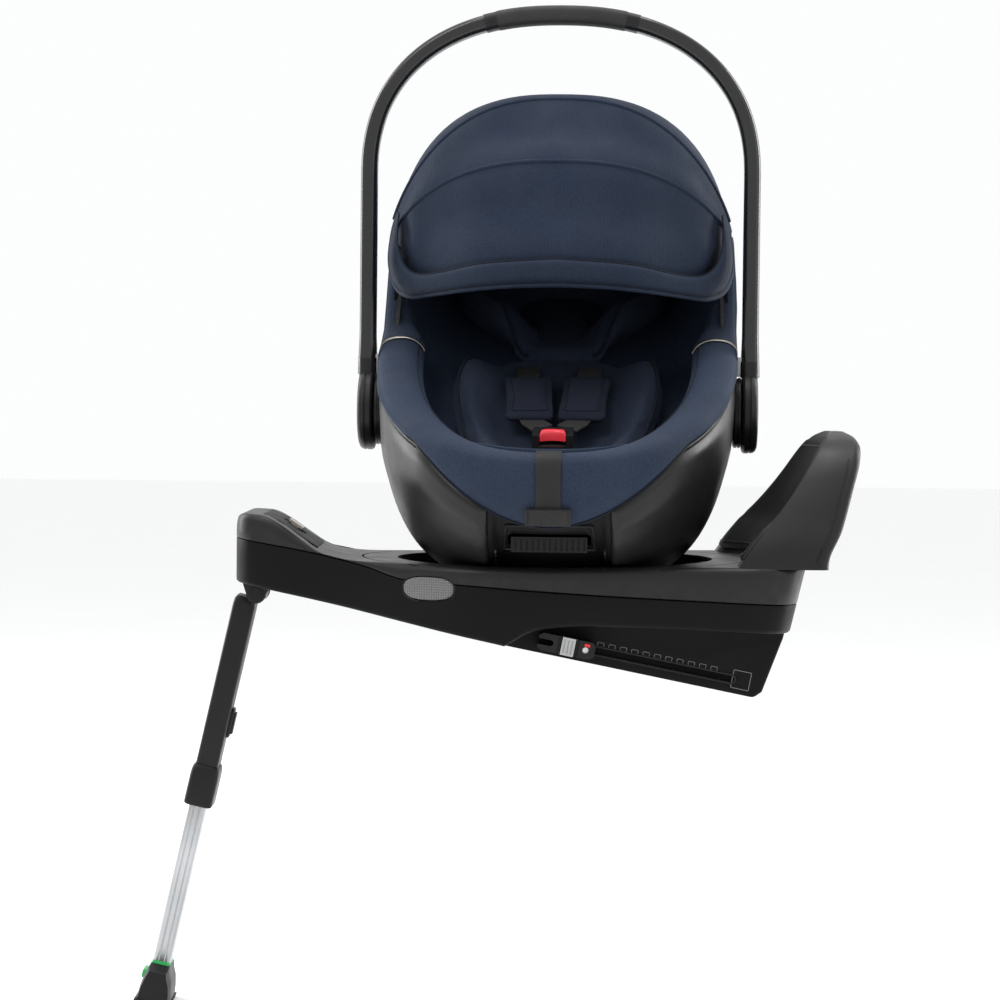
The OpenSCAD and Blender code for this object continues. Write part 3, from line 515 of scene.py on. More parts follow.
def puff(obj, cap, pressure=4.0, voxel=4.5):
    """Swells a closed form as cloth under air pressure, no point moving further than cap (mm)."""
    m = obj.modifiers.new("remesh", "REMESH")
    m.mode, m.voxel_size = "VOXEL", voxel * MM
    apply_all(obj)
    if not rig.quick():
        before = np.array([v.co for v in obj.data.vertices], float)
        cloth = obj.modifiers.new("cloth", "CLOTH")
        s = cloth.settings
        s.quality, s.mass = 5, 0.3
        s.use_pressure, s.uniform_pressure_force = True, pressure
        s.tension_stiffness = s.compression_stiffness = s.shear_stiffness = 15
        s.bending_stiffness = 2
        s.effector_weights.gravity = 0
        scene = bpy.context.scene
        for number in range(1, 21):
            scene.frame_set(number)
        graph = bpy.context.evaluated_depsgraph_get()
        after = np.array([v.co for v in obj.evaluated_get(graph).data.vertices], float)
        obj.modifiers.clear()
        scene.frame_set(1)
        move = after - before
        far = np.linalg.norm(move, axis=1, keepdims=True)
        move *= np.minimum(1, cap * MM / np.maximum(far, 1e-9))
        obj.data.vertices.foreach_set("co", (before + move).ravel())
        obj.data.update()
    m = obj.modifiers.new("relax", "SMOOTH")
    m.factor, m.iterations = 0.5, 3
    apply_all(obj)
    return subdivide(obj, 1)


def surface_of(obj):
    """Nearest-point lookup on a finished mesh, in metres."""
    tree = bmesh.new()
    tree.from_mesh(obj.data)
    found = BVHTree.FromBMesh(tree)
    tree.free()
    return found


def laid_on(tree, points, lift, place=STRAIGHT):
    """Points (mm, straight frame) moved to the surface and lifted off it by lift."""
    made = []
    back = place.inverted()
    for p in points:
        where = place @ Vector(p) * MM
        spot, normal, _, _ = tree.find_nearest(where)
        made.append(back @ (spot / MM + normal * lift))
    return made


def tube(name, path, radius, body, material, place=STRAIGHT, sides=8, stands_for=(), slot=None, ends=True):
    """Round cord, piping or wire along a path."""
    section = rounded(2 * radius, 2 * radius, n=sides)

    def keep(i):
        t = (Vector(path[min(i + 1, len(path) - 1)]) - Vector(path[max(i - 1, 0)])).normalized()
        return Vector((0, 0, 1)) if abs(t.z) < 0.9 else Vector((0, 1, 0))

    return piece(name, skin(swept(path, section, keep)), body, material, place, stands_for, slot, 60)


def stitches(name, path, normals, body, material, place=STRAIGHT, pitch=4.2, length=2.7, radius=0.42):
    """A row of short raised threads along a path."""
    count = int(length_of(path) / pitch)
    line = spread(path, count)
    shapes = []
    for i in range(count):
        a, b = line[i], line[i + 1]
        t = (b - a).normalized()
        n = normals(i / count)
        rise = Vector(n) * radius
        half = t * length / 2
        middle = (a + b) / 2
        spine = [middle - half - rise * 0.6, middle - half * 0.5 + rise, middle + half * 0.5 + rise,
                 middle + half - rise * 0.6]
        side = t.cross(Vector(n))
        shapes.append(skin(swept(spine, rounded(2 * radius, 2 * radius, n=6), side)))
    return piece(name, several(*shapes), body, material, place, angle=70)


# ------------------------------------------------------------------ materials
class Graph:
    """A node material that builds its colour, roughness and relief from object coordinates."""

    def __init__(self, name, metallic=0.0, specular=0.5):
        self.material = bpy.data.materials.new(name)
        self.material.use_nodes = True
        self.tree = self.material.node_tree
        self.bsdf = self.tree.nodes["Principled BSDF"]
        self.bsdf.inputs["Metallic"].default_value = metallic
        self.bsdf.inputs["Specular IOR Level"].default_value = specular
        self.coords = self.node("ShaderNodeTexCoord").outputs["Object"]

    def node(self, kind, **settings):
        made = self.tree.nodes.new(kind)
        for key, value in settings.items():
            setattr(made, key, value)
        return made

    def put(self, value, socket):
        if isinstance(value, bpy.types.NodeSocket):
            self.tree.links.new(value, socket)
        else:
            socket.default_value = value

    def stretched(self, scale):
        made = self.node("ShaderNodeMapping")
        self.put(self.coords, made.inputs["Vector"])
        made.inputs["Scale"].default_value = scale
        return made.outputs["Vector"]

    def noise(self, scale, detail=3.0, rough=0.5, stretch=None):
        made = self.node("ShaderNodeTexNoise")
        self.put(self.stretched(stretch) if stretch else self.coords, made.inputs["Vector"])
        made.inputs["Scale"].default_value = scale
        made.inputs["Detail"].default_value = detail
        made.inputs["Roughness"].default_value = rough
        return made.outputs["Fac"]

    def cells(self, scale, stretch=None, feature="F1"):
        made = self.node("ShaderNodeTexVoronoi", feature=feature)
        self.put(self.stretched(stretch) if stretch else self.coords, made.inputs["Vector"])
        made.inputs["Scale"].default_value = scale
        return made.outputs["Distance"]

    def bands(self, axis, pitch, bend=0.0):
        """Ridges square to an axis, pitch metres apart."""
        made = self.node("ShaderNodeTexWave", wave_type="BANDS", bands_direction=axis)
        self.put(self.coords, made.inputs["Vector"])
        made.inputs["Scale"].default_value = math.pi / 10 / pitch
        made.inputs["Distortion"].default_value = bend
        made.inputs["Detail"].default_value = 1.0
        return made.outputs["Fac"]

    def range(self, value, low, high, a=0.0, b=1.0):
        made = self.node("ShaderNodeMapRange")
        for socket, v in zip(made.inputs, (value, low, high, a, b)):
            self.put(v, socket)
        return made.outputs["Result"]

    def math(self, how, a, b):
        made = self.node("ShaderNodeMath", operation=how)
        self.put(a, made.inputs[0])
        self.put(b, made.inputs[1])
        return made.outputs[0]

    def mix(self, share, a, b):
        made = self.node("ShaderNodeMix", data_type="RGBA")
        self.put(share, made.inputs["Factor"])
        self.put(a, made.inputs["A"])
        self.put(b, made.inputs["B"])
        return made.outputs["Result"]

    def worn_edges(self, low=0.52, high=0.58):
        return self.range(self.node("ShaderNodeNewGeometry").outputs["Pointiness"], low, high)

    def relief(self, height, strength, depth, under=None):
        made = self.node("ShaderNodeBump")
        made.inputs["Strength"].default_value = strength
        made.inputs["Distance"].default_value = depth
        self.put(height, made.inputs["Height"])
        if under:
            self.put(under, made.inputs["Normal"])
        self.put(made.outputs["Normal"], self.bsdf.inputs["Normal"])
        return made.outputs["Normal"]

    def done(self, colour, roughness):
        self.put(colour, self.bsdf.inputs["Base Color"])
        self.put(roughness, self.bsdf.inputs["Roughness"])
        return self.material


def tone(colour, share):
    return tuple(min(1.0, c * share) for c in colour) + (1.0,)


def moulded(name, colour, roughness=0.45, grain=0.25, pitch=1300, wear=1.5, coat=0.0, specular=0.5):
    """Moulded plastic: spark-eroded grain, cloudy gloss and paler rubbed edges."""
    g = Graph(name, specular=specular)
    cloud = g.range(g.noise(9, 4), 0.35, 0.65)
    base = g.mix(cloud, tone(colour, 0.9), tone(colour, 1.1))
    rubbed = g.math("MULTIPLY", g.worn_edges(), g.range(g.noise(60, 3), 0.4, 0.6, 0.3, 1.0))
    base = g.mix(rubbed, base, tone(colour, wear))
    g.relief(g.noise(pitch, 2, 0.6), grain, 0.0002)
    if coat:
        g.bsdf.inputs["Coat Weight"].default_value = coat
        g.bsdf.inputs["Coat Roughness"].default_value = 0.12
    return g.done(base, g.range(g.noise(35, 3), 0.3, 0.7, roughness - 0.05, roughness + 0.06))


def metal(name, colour, roughness=0.3, stretch=(1, 1, 1), grain=0.15):
    """Drawn or plated metal with fine lines along the longest stretch."""
    g = Graph(name, metallic=1.0)
    lines = g.noise(900, 3, 0.7, stretch)
    base = g.mix(g.range(g.noise(12, 4), 0.35, 0.65), tone(colour, 0.88), tone(colour, 1.08))
    g.relief(lines, grain, 0.0001)
    return g.done(base, g.range(lines, 0.2, 0.8, roughness - 0.08, roughness + 0.1))


def knitted(name, colour, rib=0.0022, relief=0.5, sheen=0.35, streak=0.0):
    """Stretch knit: stitch cells with painted shade in the gaps between them, faint ribs, cloudy shade and a soft sheen
    at grazing angles.
    """
    g = Graph(name, specular=0.25)
    cell = g.cells(560, (1, 1, 0.72))
    ribs = g.bands("X", rib, 0.6)
    height = g.math("ADD", g.range(cell, 0.0, 0.9, 1.0, 0.0), g.math("MULTIPLY", ribs, 0.45))
    cloud = g.range(g.noise(7, 4), 0.3, 0.7)
    base = g.mix(cloud, tone(colour, 0.86), tone(colour, 1.12))
    fleck = g.range(g.noise(700, 2, 0.8), 0.35, 0.75, 0.0, 0.45)
    base = g.mix(fleck, base, tone(colour, 1.55))
    # painted shade: the gaps between stitch cells, low in the relief, are painted darker
    base = g.mix(g.range(cell, 0.35, 0.8, 0.0, 0.5), base, tone(colour, 0.55))
    if streak:
        base = g.mix(g.math("MULTIPLY", ribs, streak), base, tone(colour, 0.55))
    g.relief(height, relief, 0.0004)
    g.bsdf.inputs["Sheen Weight"].default_value = sheen
    g.bsdf.inputs["Sheen Roughness"].default_value = 0.45
    g.bsdf.inputs["Sheen Tint"].default_value = tone(colour, 5)
    return g.done(base, g.range(g.noise(20, 2), 0.3, 0.7, 0.78, 0.92))


def woven(name, colour, pitch=0.0015):
    """Harness webbing: a twill of close ribs with rounded threads, painted darker in the gaps and lighter on the thread
    crowns as painted shade and light.
    """
    g = Graph(name, specular=0.3)
    along = g.bands("Z", pitch, 0.3)
    across = g.bands("X", pitch * 1.3, 0.3)
    weave = g.math("MULTIPLY", along, across)
    # painted shade and light: colour follows the weave relief, darker in the gaps and lighter on the crowns
    base = g.mix(g.range(weave, 0.1, 0.7), tone(colour, 0.6), tone(colour, 1.35))
    base = g.mix(g.range(g.noise(40, 3), 0.3, 0.7, 0.0, 0.4), base, tone(colour, 1.2))
    g.relief(weave, 0.7, 0.0005)
    return g.done(base, g.range(g.noise(30, 2), 0.3, 0.7, 0.6, 0.75))


def perforated(name, colour, pitch=0.0026):
    """Light plastic with a close grid of small dimples, painted darker inside them as painted shade."""
    g = Graph(name)
    lattice = g.math("MULTIPLY", g.bands("X", pitch), g.bands("Z", pitch))
    # painted shade: the dimples of the lattice are painted darker
    base = g.mix(g.range(lattice, 0.3, 0.8), tone(colour, 1.1), tone(colour, 0.45))
    g.relief(g.range(lattice, 0.2, 0.9, 1.0, 0.0), 0.8, 0.0006)
    return g.done(base, g.range(g.noise(50, 2), 0.3, 0.7, 0.4, 0.55))


def beaded_foam(name, colour):
    """Expanded foam: packed beads with pores between, painted darker in the pores as painted shade."""
    g = Graph(name)
    beads = g.cells(260)
    # painted shade: the pores between beads are painted darker
    base = g.mix(g.range(beads, 0.2, 0.7), tone(colour, 1.0), tone(colour, 0.75))
    g.relief(g.range(beads, 0.0, 0.8, 1.0, 0.0), 0.5, 0.0008)
    return g.done(base, g.range(g.noise(80, 2), 0.3, 0.7, 0.7, 0.85))


BLACK = moulded("black_plastic", (0.006, 0.006, 0.0065), 0.42, specular=0.2)
DARK = moulded("dark_plastic", (0.009, 0.009, 0.0095), 0.40, specular=0.22)
# painted shade: the shell takes the dark plastic at less than half its colour and a lower specular level
SHELL_PAINTED_SHADE = moulded("shell_plastic_painted_shade", (0.0035, 0.0035, 0.004), 0.5, specular=0.12)
# painted shade: the lower tray takes the dark plastic at less than half its colour and a lower specular level
TRAY_PAINTED_SHADE = moulded("tray_plastic_painted_shade", (0.0035, 0.0035, 0.004), 0.5, specular=0.1)
FAIRING = moulded("fairing_plastic", (0.007, 0.007, 0.0075), 0.36, grain=0.15, specular=0.25)
PAD = moulded("pad_plastic", (0.016, 0.016, 0.017), 0.6, grain=0.5, pitch=900, specular=0.2)
GLOSS = moulded("handle_plastic", (0.007, 0.007, 0.0075), 0.28, grain=0.08, coat=0.2, specular=0.4)
GRIP = moulded("grip_rubber", (0.008, 0.008, 0.008), 0.7, grain=0.8, pitch=700)
RUBBER = moulded("rubber", (0.008, 0.008, 0.008), 0.8, grain=0.7, pitch=500)
GREY = moulded("grey_plastic", (0.30, 0.30, 0.30), 0.38, grain=0.2, wear=1.2)
BEARING = moulded("bearing_plastic", (0.62, 0.62, 0.58), 0.35, grain=0.1, wear=1.1)
TRIM = metal("trim_metal", (0.42, 0.38, 0.33), 0.3)
STEEL = metal("steel", (0.55, 0.56, 0.57), 0.28, (1, 0.05, 1))
ALUMINIUM = metal("leg_aluminium", (0.44, 0.45, 0.46), 0.34, (1, 1, 0.02), 0.05)
RED = moulded("button_red", (0.72, 0.035, 0.055), 0.3, grain=0.08, wear=1.15)
FLAG_RED = moulded("indicator_red", (0.5, 0.008, 0.012), 0.3, grain=0.05, wear=1.15)
GREEN = moulded("indicator_green", (0.0, 0.30, 0.06), 0.3, grain=0.05, wear=1.15)
NAVY = knitted("navy_fabric", (0.0135, 0.0225, 0.043), sheen=0.1)
NAVY_HOOD = knitted("hood_fabric_knit", (0.012, 0.020, 0.039), rib=0.0034, streak=0.25, sheen=0.08)
NAVY_DARK = knitted("navy_dark_fabric", (0.011, 0.017, 0.033), sheen=0.1)
NAVY_DEEP = knitted("pad_fabric", (0.0065, 0.0095, 0.020), relief=0.3, sheen=0.1)
PIPING = knitted("piping_fabric", (0.0045, 0.0065, 0.014), rib=0.0012, sheen=0.08)
THREAD = woven("stitching_thread", (0.004, 0.006, 0.014), 0.0008)
THREAD_PALE = woven("stitching_thread_pale", (0.05, 0.07, 0.13), 0.0008)
WEBBING = woven("webbing", (0.026, 0.026, 0.027))
STRAP_DARK = woven("strap_webbing", (0.011, 0.011, 0.012))
OVAL_GREY = perforated("oval_button_plastic", (0.105, 0.105, 0.105))
GREY_MARK = moulded("mark_print", (0.11, 0.11, 0.115), 0.5, grain=0.1, wear=1.1)
FOAM = beaded_foam("energy_foam", (0.030, 0.030, 0.032))


# ------------------------------------------------------------------ studio
def studio():
    floor_z = cad_bounds[0][2] - 0.001
    shape = [(-20000, -20000, 0), (20000, -20000, 0), (20000, 20000, 0), (-20000, 20000, 0)]
    floor = made_object("studio_floor", shape, [(0, 1, 2, 3)])
    floor.location.z = floor_z
    g = Graph("floor_paint", specular=0.2)
    g.relief(g.noise(300, 2), 0.05, 0.0002)
    floor.data.materials.append(g.done(g.mix(g.noise(3, 3), tone((0.93,) * 3, 1), tone((0.95,) * 3, 1)), 0.6))
    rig.stage(floor)

    world = bpy.data.worlds.new("studio")
    world.use_nodes = True
    world.node_tree.nodes["Background"].inputs["Color"].default_value = (0.98, 0.985, 0.99, 1)
    world.node_tree.nodes["Background"].inputs["Strength"].default_value = 1.0
    bpy.context.scene.world = world
    bpy.context.scene.view_settings.view_transform = "Standard"

    def softbox(name, at, aim, size, power_w):
        light = bpy.data.lights.new(name, "AREA")
        light.shape, light.size, light.size_y, light.energy = "RECTANGLE", size[0], size[1], power_w
        obj = bpy.data.objects.new(name, light)
        obj.location = at
        obj.rotation_euler = (Vector(aim) - Vector(at)).to_track_quat("-Z", "Y").to_euler()
        bpy.context.scene.collection.objects.link(obj)

    middle = (0, 0, 0.25)
    softbox("key_light", (-1.5, -1.9, 3.0), middle, (1.6, 1.6), 46)
    softbox("fill_light", (2.6, -2.0, 1.2), middle, (1.6, 2.2), 12)
    softbox("top_light", (0.0, 0.3, 3.0), (0, 0.05, 0.3), (1.6, 1.6), 44)
    softbox("edge_light_left", (-2.3, 1.3, 1.1), middle, (0.8, 2.4), 46)
    softbox("edge_light_right", (2.3, 1.3, 1.1), middle, (0.8, 2.4), 46)


def camera():
    """The photograph's view: square to the base's side, two degrees above it, a little rolled."""
    far, tilt, roll = 3.3, math.radians(2.0), math.radians(0.6)
    aim = Vector((-0.062, 0, 0.162))
    data = bpy.data.cameras.new("camera")
    data.lens, data.sensor_width = 106.06, 36
    data.clip_end = 60
    obj = bpy.data.objects.new("camera", data)
    obj.location = aim + Vector((0, -math.cos(tilt), math.sin(tilt))) * far
    obj.rotation_euler = (Matrix.Rotation(math.pi / 2 - tilt, 3, "X") @ Matrix.Rotation(roll, 3, "Z")).to_euler()
    bpy.context.scene.collection.objects.link(obj)
    bpy.context.scene.camera = obj


studio()
camera()

# ------------------------------------------------------------------ base
PLAN_HALF = [
    (-352, 52), (-347, 74), (-334, 89), (-310, 97), (-270, 102), (-238, 110), (-206, 125),
    (-172, 145), (-104, 178), (-70, 185), (-30, 190), (196, 190), (228, 185), (250, 174),
    (262, 156), (268, 130),
]
TOP_LINE = [
    (-352, 148), (-322, 146), (-304, 138), (-278, 120), (-258, 107), (-238, 101), (-200, 98),
    (-100, 97), (190, 99), (271, 100),
]
SEAM_LINE = [(-360, 122), (-270, 107), (-206, 93), (-164, 81), (-100, 77), (69, 67), (280, 58)]
SKIRT_LINE = [(-56, 13), (-24, 30), (6, 34), (34, 35), (262, 28)]
END_LEAN = 0.236            # the rebound end leans in towards its foot
SHOULDER = 9                # radius along the top edge


def end_shift(x, z):
    return -END_LEAN * (TOP_Z - z) * smooth((x - 150) / 110)


def top_at(x):
    roll = 12
    nose = max(0.0, (-352 + roll - x) / roll)
    return eased(TOP_LINE, x) - roll * (1 - math.sqrt(max(0.0, 1 - nose * nose)))


def half_at(x):
    return eased(PLAN_HALF, x)


def under_at(x):
    if x < -56:
        return max(2 - x * SLOPE, 14)
    return eased(SKIRT_LINE, x)


def upper_ring(x):
    h, zt, zs = half_at(x), top_at(x), eased(SEAM_LINE, x) + 0.6
    r = min(SHOULDER, (zt - zs) * 0.6)
    side = [(-h + 6, zs), (-h + 0.8, zs), (-h, zs + 0.8), (-h, mix(zs, zt - r, 0.5))]
    side += [(-h + r - r * math.cos(a), zt - r + r * math.sin(a)) for a in steps(0, math.pi / 2, 7)]
    inner = [(y, zt) for y in steps(-h + r, 0, 8)[1:]]
    left = side + inner
    ring = left + [(-y, z) for y, z in reversed(left[:-1])] + [(y, zs) for y in steps(h - 6, 6 - h, 8)[1:-1]]
    return [(x + end_shift(x, z), y, z) for y, z in ring]


def lower_ring(x):
    h, zs, zu = half_at(x) - 0.7, eased(SEAM_LINE, x) - 0.6, under_at(x)
    r = min(5.0, (zs - zu) * 0.3)
    side = [(-h + 6, zs), (-h + 0.8, zs), (-h, zs - 0.8), (-h, mix(zs, zu + r, 0.5))]
    side += [(-h + r - r * math.cos(a), zu + r - r * math.sin(a)) for a in steps(0, math.pi / 2, 6)]
    inner = [(y, zu) for y in steps(-h + r, 0, 8)[1:]]
    left = side + inner
    ring = left + [(-y, z) for y, z in reversed(left[:-1])] + [(y, zs) for y in steps(h - 6, 6 - h, 8)[1:-1]]
    return [(x + end_shift(x, z), y, z) for y, z in ring]


def base_stations():
    return crowded(-352, -200, 34) + steps(-200, 200, 50)[1:] + crowded(200, 268, 22)[1:]


def prism(outline, y0, y1):
    """Solid between two y planes with an outline in x and z."""
    return skin([[(x, y0, z) for x, z in outline], [(x, y1, z) for x, z in outline]])


def cutter(shape, place=STRAIGHT):
    return made_object("cutter", *shape, place=place)


def drum(radius, z0, z1, n=128):
    return skin([[(radius * math.cos(a), radius * math.sin(a), z)
                  for a in (2 * math.pi * i / n for i in range(n))] for z in (z0, z1)])


def annulus(r0, r1, z0, z1, n=160):
    ring = []
    for i in range(n):
        a = 2 * math.pi * i / n
        ring.append([(r * math.cos(a), r * math.sin(a), z) for r, z in ((r0, z0), (r1, z0), (r1, z1), (r0, z1))])
    points, faces = skin(ring + [ring[0]], caps=False)
    return points, faces


OVAL_AT = (-137, 162, 72.5)
OVAL_HALF = (30, 12.5)
OVAL_TURN = math.degrees(math.atan((178 - 145) / (172 - 104)))


def oval_place(side):
    """Frame of a swivel button: z out of the wall, x along it. side is -1 near, 1 far."""
    turn = Matrix.Rotation(math.radians(side * OVAL_TURN), 4, "Z")
    stand = Matrix.Rotation(math.pi / 2 * (1 if side < 0 else -1), 4, "X")
    return Matrix.Translation((OVAL_AT[0], side * OVAL_AT[1], OVAL_AT[2])) @ turn @ stand


def oval_rings(levels, e=2.6):
    """Stack of ovals: levels is a list of (grow, depth)."""
    return [[(x, y, d) for x, y in rounded(2 * (OVAL_HALF[0] + g), 2 * (OVAL_HALF[1] + g), e, 48)]
            for g, d in levels]


def upper_cover():
    obj = made_object("upper_cover", *skin([upper_ring(x) for x in base_stations()]))
    cut(obj, cutter(drum(DISH_R, DISH_Z, 130)), cutter(drum(27, 40, 130, 48)),
        cutter(annulus(213.6, 216, TOP_Z - 1.6, 130)))
    for side in (-1, 1):
        cut(obj, cutter(skin(oval_rings([(0.9, -12), (0.9, 30)])), oval_place(side)))
    bevel(obj, 0.8, 2)
    finish_piece(obj, "base", DARK, ["base_upper_cover"], "dark_plastic")


def wedge(name, half_y, inset):
    outline = [(-80 + inset, 80 * SLOPE + inset), (212, inset - 212 * SLOPE), (221 - inset, -36),
               (243 - inset, 22), (247 - inset, 38), (-80 + inset, 38)]
    return made_object(name, *prism(outline, -half_y, half_y))


def lower_tray():
    obj = made_object("lower_tray", *skin([lower_ring(x) for x in base_stations()]))
    heel = wedge("heel", 150, 0)
    bevel(heel, 4, 3)
    slot_run = rounded_slot(22, 188, 3.6)
    for side in (-1, 1):
        cut(heel, cutter(prism([(x, z + 15) for x, z in slot_run], side * 140, side * 160), UNDERSIDE))
    cut(obj, heel, how="UNION")
    for side in (-1, 1):
        cut(obj, cutter(skin(oval_rings([(0.9, -12), (0.9, 30)])), oval_place(side)))
    cut(obj, cutter(drum(DISH_R + 3, DISH_Z - 4, 130)))
    bevel(obj, 0.7, 2)
    # the tray's darker copy of the dark plastic is painted shade
    finish_piece(obj, "base", TRAY_PAINTED_SHADE, ["base_lower_tray"], "dark_plastic")


def rounded_slot(x0, x1, r):
    right = [(x1 + r * math.sin(a), r * math.cos(a)) for a in steps(0, math.pi, 10)]
    left = [(x0 - r * math.sin(a), -r * math.cos(a)) for a in steps(0, math.pi, 10)]
    return right + left


def swivel_button(side, word):
    rings = oval_rings([(-2, -6), (0, -5), (0, 0.6), (-0.8, 1.9), (-2.4, 2.6), (-6, 2.9), (-9, 3.0)])
    piece(f"swivel_button_{word}", skin(rings), f"swivel_button_{word}", OVAL_GREY, oval_place(side),
          [f"rotation_button_{word}"], "grey_plastic", 50)
    rim = [oval_rings([(g, d)])[0] for g, d in ((0.9, -6), (2.2, -6), (2.2, 0.4), (1.7, 0.9), (0.9, 0.4))]
    piece(f"swivel_button_surround_{word}", skin(rim + [rim[0]], caps=False), "base", BLACK,
          oval_place(side), slot="black_plastic")


def slot_rail(side, word):
    """Bright guide rail along the slot's lower edge."""
    line = [(x, side * 149.4, 10.6) for x in steps(44, 186, 12)]
    tube(f"slot_rail_{word}", line, 0.9, "base", STEEL, UNDERSIDE, slot="steel")


def slot_scale(side, word):
    """Plain marks along the slot that the anchor arm slides in, and a square window beyond them."""
    def frame_mark(x, z, w, h, bar):
        outer, inner = box_ring(w, h, 1.0, 3), box_ring(w - bar, h - bar, 0.6, 3)
        y = side * 150
        grids = [[(x + a, y + side * d, z + b) for a, b in ring]
                 for ring, d in ((outer, 0), (outer, 0.35), (inner, 0.35), (inner, 0))]
        return skin(grids + [grids[0]], caps=False)

    shapes = [frame_mark(44 + 12.4 * i, 22.5, 7.4, 4.6, 1.0) for i in range(11)]
    shapes.append(frame_mark(199, 16, 20, 20, 1.4))
    piece(f"slot_scale_{word}", several(*shapes), "base", GREY_MARK, UNDERSIDE, slot="grey_plastic")
    bezel = [[(x, side * 150 + side * d, z + 15) for x, z in rounded_slot(22, 188, r)]
             for r, d in ((3.7, -3), (5.6, -1), (5.6, 0.9), (5.0, 1.3), (3.7, 1.0))]
    piece(f"slot_bezel_{word}", skin(bezel + [bezel[0]], caps=False), "base", BLACK, UNDERSIDE,
          slot="black_plastic")


PANEL_IN = [(97, 188), (117, 202), (151, 228), (184, 250), (205, 265), (221, 277), (236, 290), (243, 302)]
PANEL_OUT = [(97, 288), (101, 288), (140, 304), (180, 317), (212, 327), (226, 329), (237, 325), (243, 316)]
PANEL_HALF = [(97, 181), (100, 180), (120, 176), (150, 160), (180, 142), (205, 124), (224, 104), (236, 78),
              (243, 40)]
SCOOP_R = [(90, 230), (118, 250), (151, 276), (220, 297), (250, 301)]


def panel_front(y, z, inset=0.0):
    """x of the rebound panel's face, hollowed to clear the carrier as it swivels."""
    r = eased(SCOOP_R, z) + inset
    return max(eased(PANEL_IN, z) + inset * 0.5, math.sqrt(max(0.0, r * r - y * y)))


def panel_ring(z, shrink=0.0):
    h = eased(PANEL_HALF, z) - shrink
    back = eased(PANEL_OUT, z) - shrink
    front = [(panel_front(y, z, 5.4) + shrink, y) for y in (h * math.sin(a) for a in steps(-math.pi / 2, math.pi / 2, 40))]
    edge = front[-1][0]
    r = max(1.0, min(9.0, (back - edge) * 0.35))
    corner = [(back - r + r * math.sin(a), h - r + r * math.cos(a)) for a in steps(0, math.pi / 2, 6)]
    rear = [(back + 3 * math.cos(a) - 3 * math.cos(math.pi / 2), (h - r) * math.sin(a))
            for a in steps(math.pi / 2, -math.pi / 2, 16)[1:-1]]
    ring = front + corner + rear + [(x, -y) for x, y in reversed(corner)]
    return [(x, y, z) for x, y in ring]


def rebound_panel():
    heights = [97.2, 98, 100, 104] + steps(110, 205, 20) + steps(210, 238, 12) + [240, 241.6, 242.6, 243]
    rings = [panel_ring(z) for z in heights]
    piece("rebound_panel_shell", skin(rings), "base", DARK, stands_for=["rebound_shell"], slot="dark_plastic",
          round_edges=1.2)

    def face(a, b, lift):
        z = mix(104, 236, b)
        h = (eased(PANEL_HALF, z) - 9) * math.sin(a * math.pi / 2)
        edge = 1 - max(abs(a) ** 14, abs(2 * b - 1) ** 22)
        return (panel_front(h, z) + 4.6 - lift * edge ** 0.5, h, z)

    front = [[face(a, b, 5.2) for a in steps(-1, 1, 48)] for b in steps(0, 1, 30)]
    back = [[face(a, b, 0.4) for a in steps(-1, 1, 48)] for b in steps(0, 1, 30)]
    piece("rebound_face_pad", two_sided(front, back), "base", PAD, stands_for=["rebound_pad"],
          slot="pad_plastic", angle=50)
    for z, name in ((112, "low"), (226, "high")):
        h = eased(PANEL_HALF, z) - 14
        line = [(panel_front(y, z) - 0.7, y, z) for y in steps(-h, h, 60)]
        tube(f"rebound_seam_{name}", line, 0.8, "base", BLACK, slot="black_plastic")
    for side, word in ((-1, "near"), (1, "far")):
        rib = [(eased(PANEL_OUT, z) - 13, side * (eased(PANEL_HALF, z) + 0.2), z) for z in steps(104, 214, 24)]
        tube(f"rebound_side_seam_{word}", rib, 0.9, "base", BLACK, slot="black_plastic")


def soften(name, material, width=0.7, angle=38):
    """A CAD node that is shown as it is: its edges broken and its material set."""
    obj = nodes[name]
    m = obj.modifiers.new("broken_edges", "BEVEL")
    m.width, m.segments, m.limit_method, m.angle_limit = width * MM, 2, "ANGLE", math.radians(angle)
    m.harden_normals = False
    obj.data.materials.clear()
    obj.data.materials.append(material)


def nose_parts():
    rise = [(-262, 110.4), (-278, 120.6), (-304, 138.6), (-322, 146.6)]

    def inlay(a, b, lift):
        p = spread([(x, 0, z) for x, z in rise], 24)[int(b * 24)]
        edge = 1 - max(abs(a) ** 12, abs(2 * b - 1) ** 14)
        return (p.x, 62 * a, p.z + lift * edge ** 0.5)

    top = [[inlay(a, b / 24, 1.0) for a in steps(-1, 1, 30)] for b in range(25)]
    low = [[inlay(a, b / 24, -1.4) for a in steps(-1, 1, 30)] for b in range(25)]
    obj = made_object("nose_inlay", *two_sided(top, low))
    cut(obj, cutter(prism([(-303, 100), (-279, 100), (-279, 160), (-303, 160)], -11, 11)))
    finish_piece(obj, "base", PAD, ["nose_panel"], "dark_plastic", 45)
    soften("nose_release_lever", TRIM, 0.9)


def turntable():
    soften("turntable_disc", BLACK, 0.8)
    soften("turntable_retainer", BLACK, 0.5)
    soften("turntable_glide_ring", BEARING, 0.4)
    soften("dock_hooks", STEEL, 0.5)
    groove = several(*(annulus(r, r + 1.6, 80.9, 81.7) for r in (96, 128, 168)))
    piece("turntable_rings", groove, "turntable", DARK, slot="dark_plastic")


upper_cover()
lower_tray()
for side_sign, side_word in ((-1, "near"), (1, "far")):
    swivel_button(side_sign, side_word)
    slot_scale(side_sign, side_word)
    slot_rail(side_sign, side_word)
rebound_panel()
nose_parts()
turntable()
for node_name in ("base_chassis", "isofix_rails", "base_screws", "isofix_crossbar"):
    soften(node_name, STEEL, 0.4)
soften("leg_hinge_pin", BLACK, 0.4)
soften("leg_bracket", DARK, 1.0)

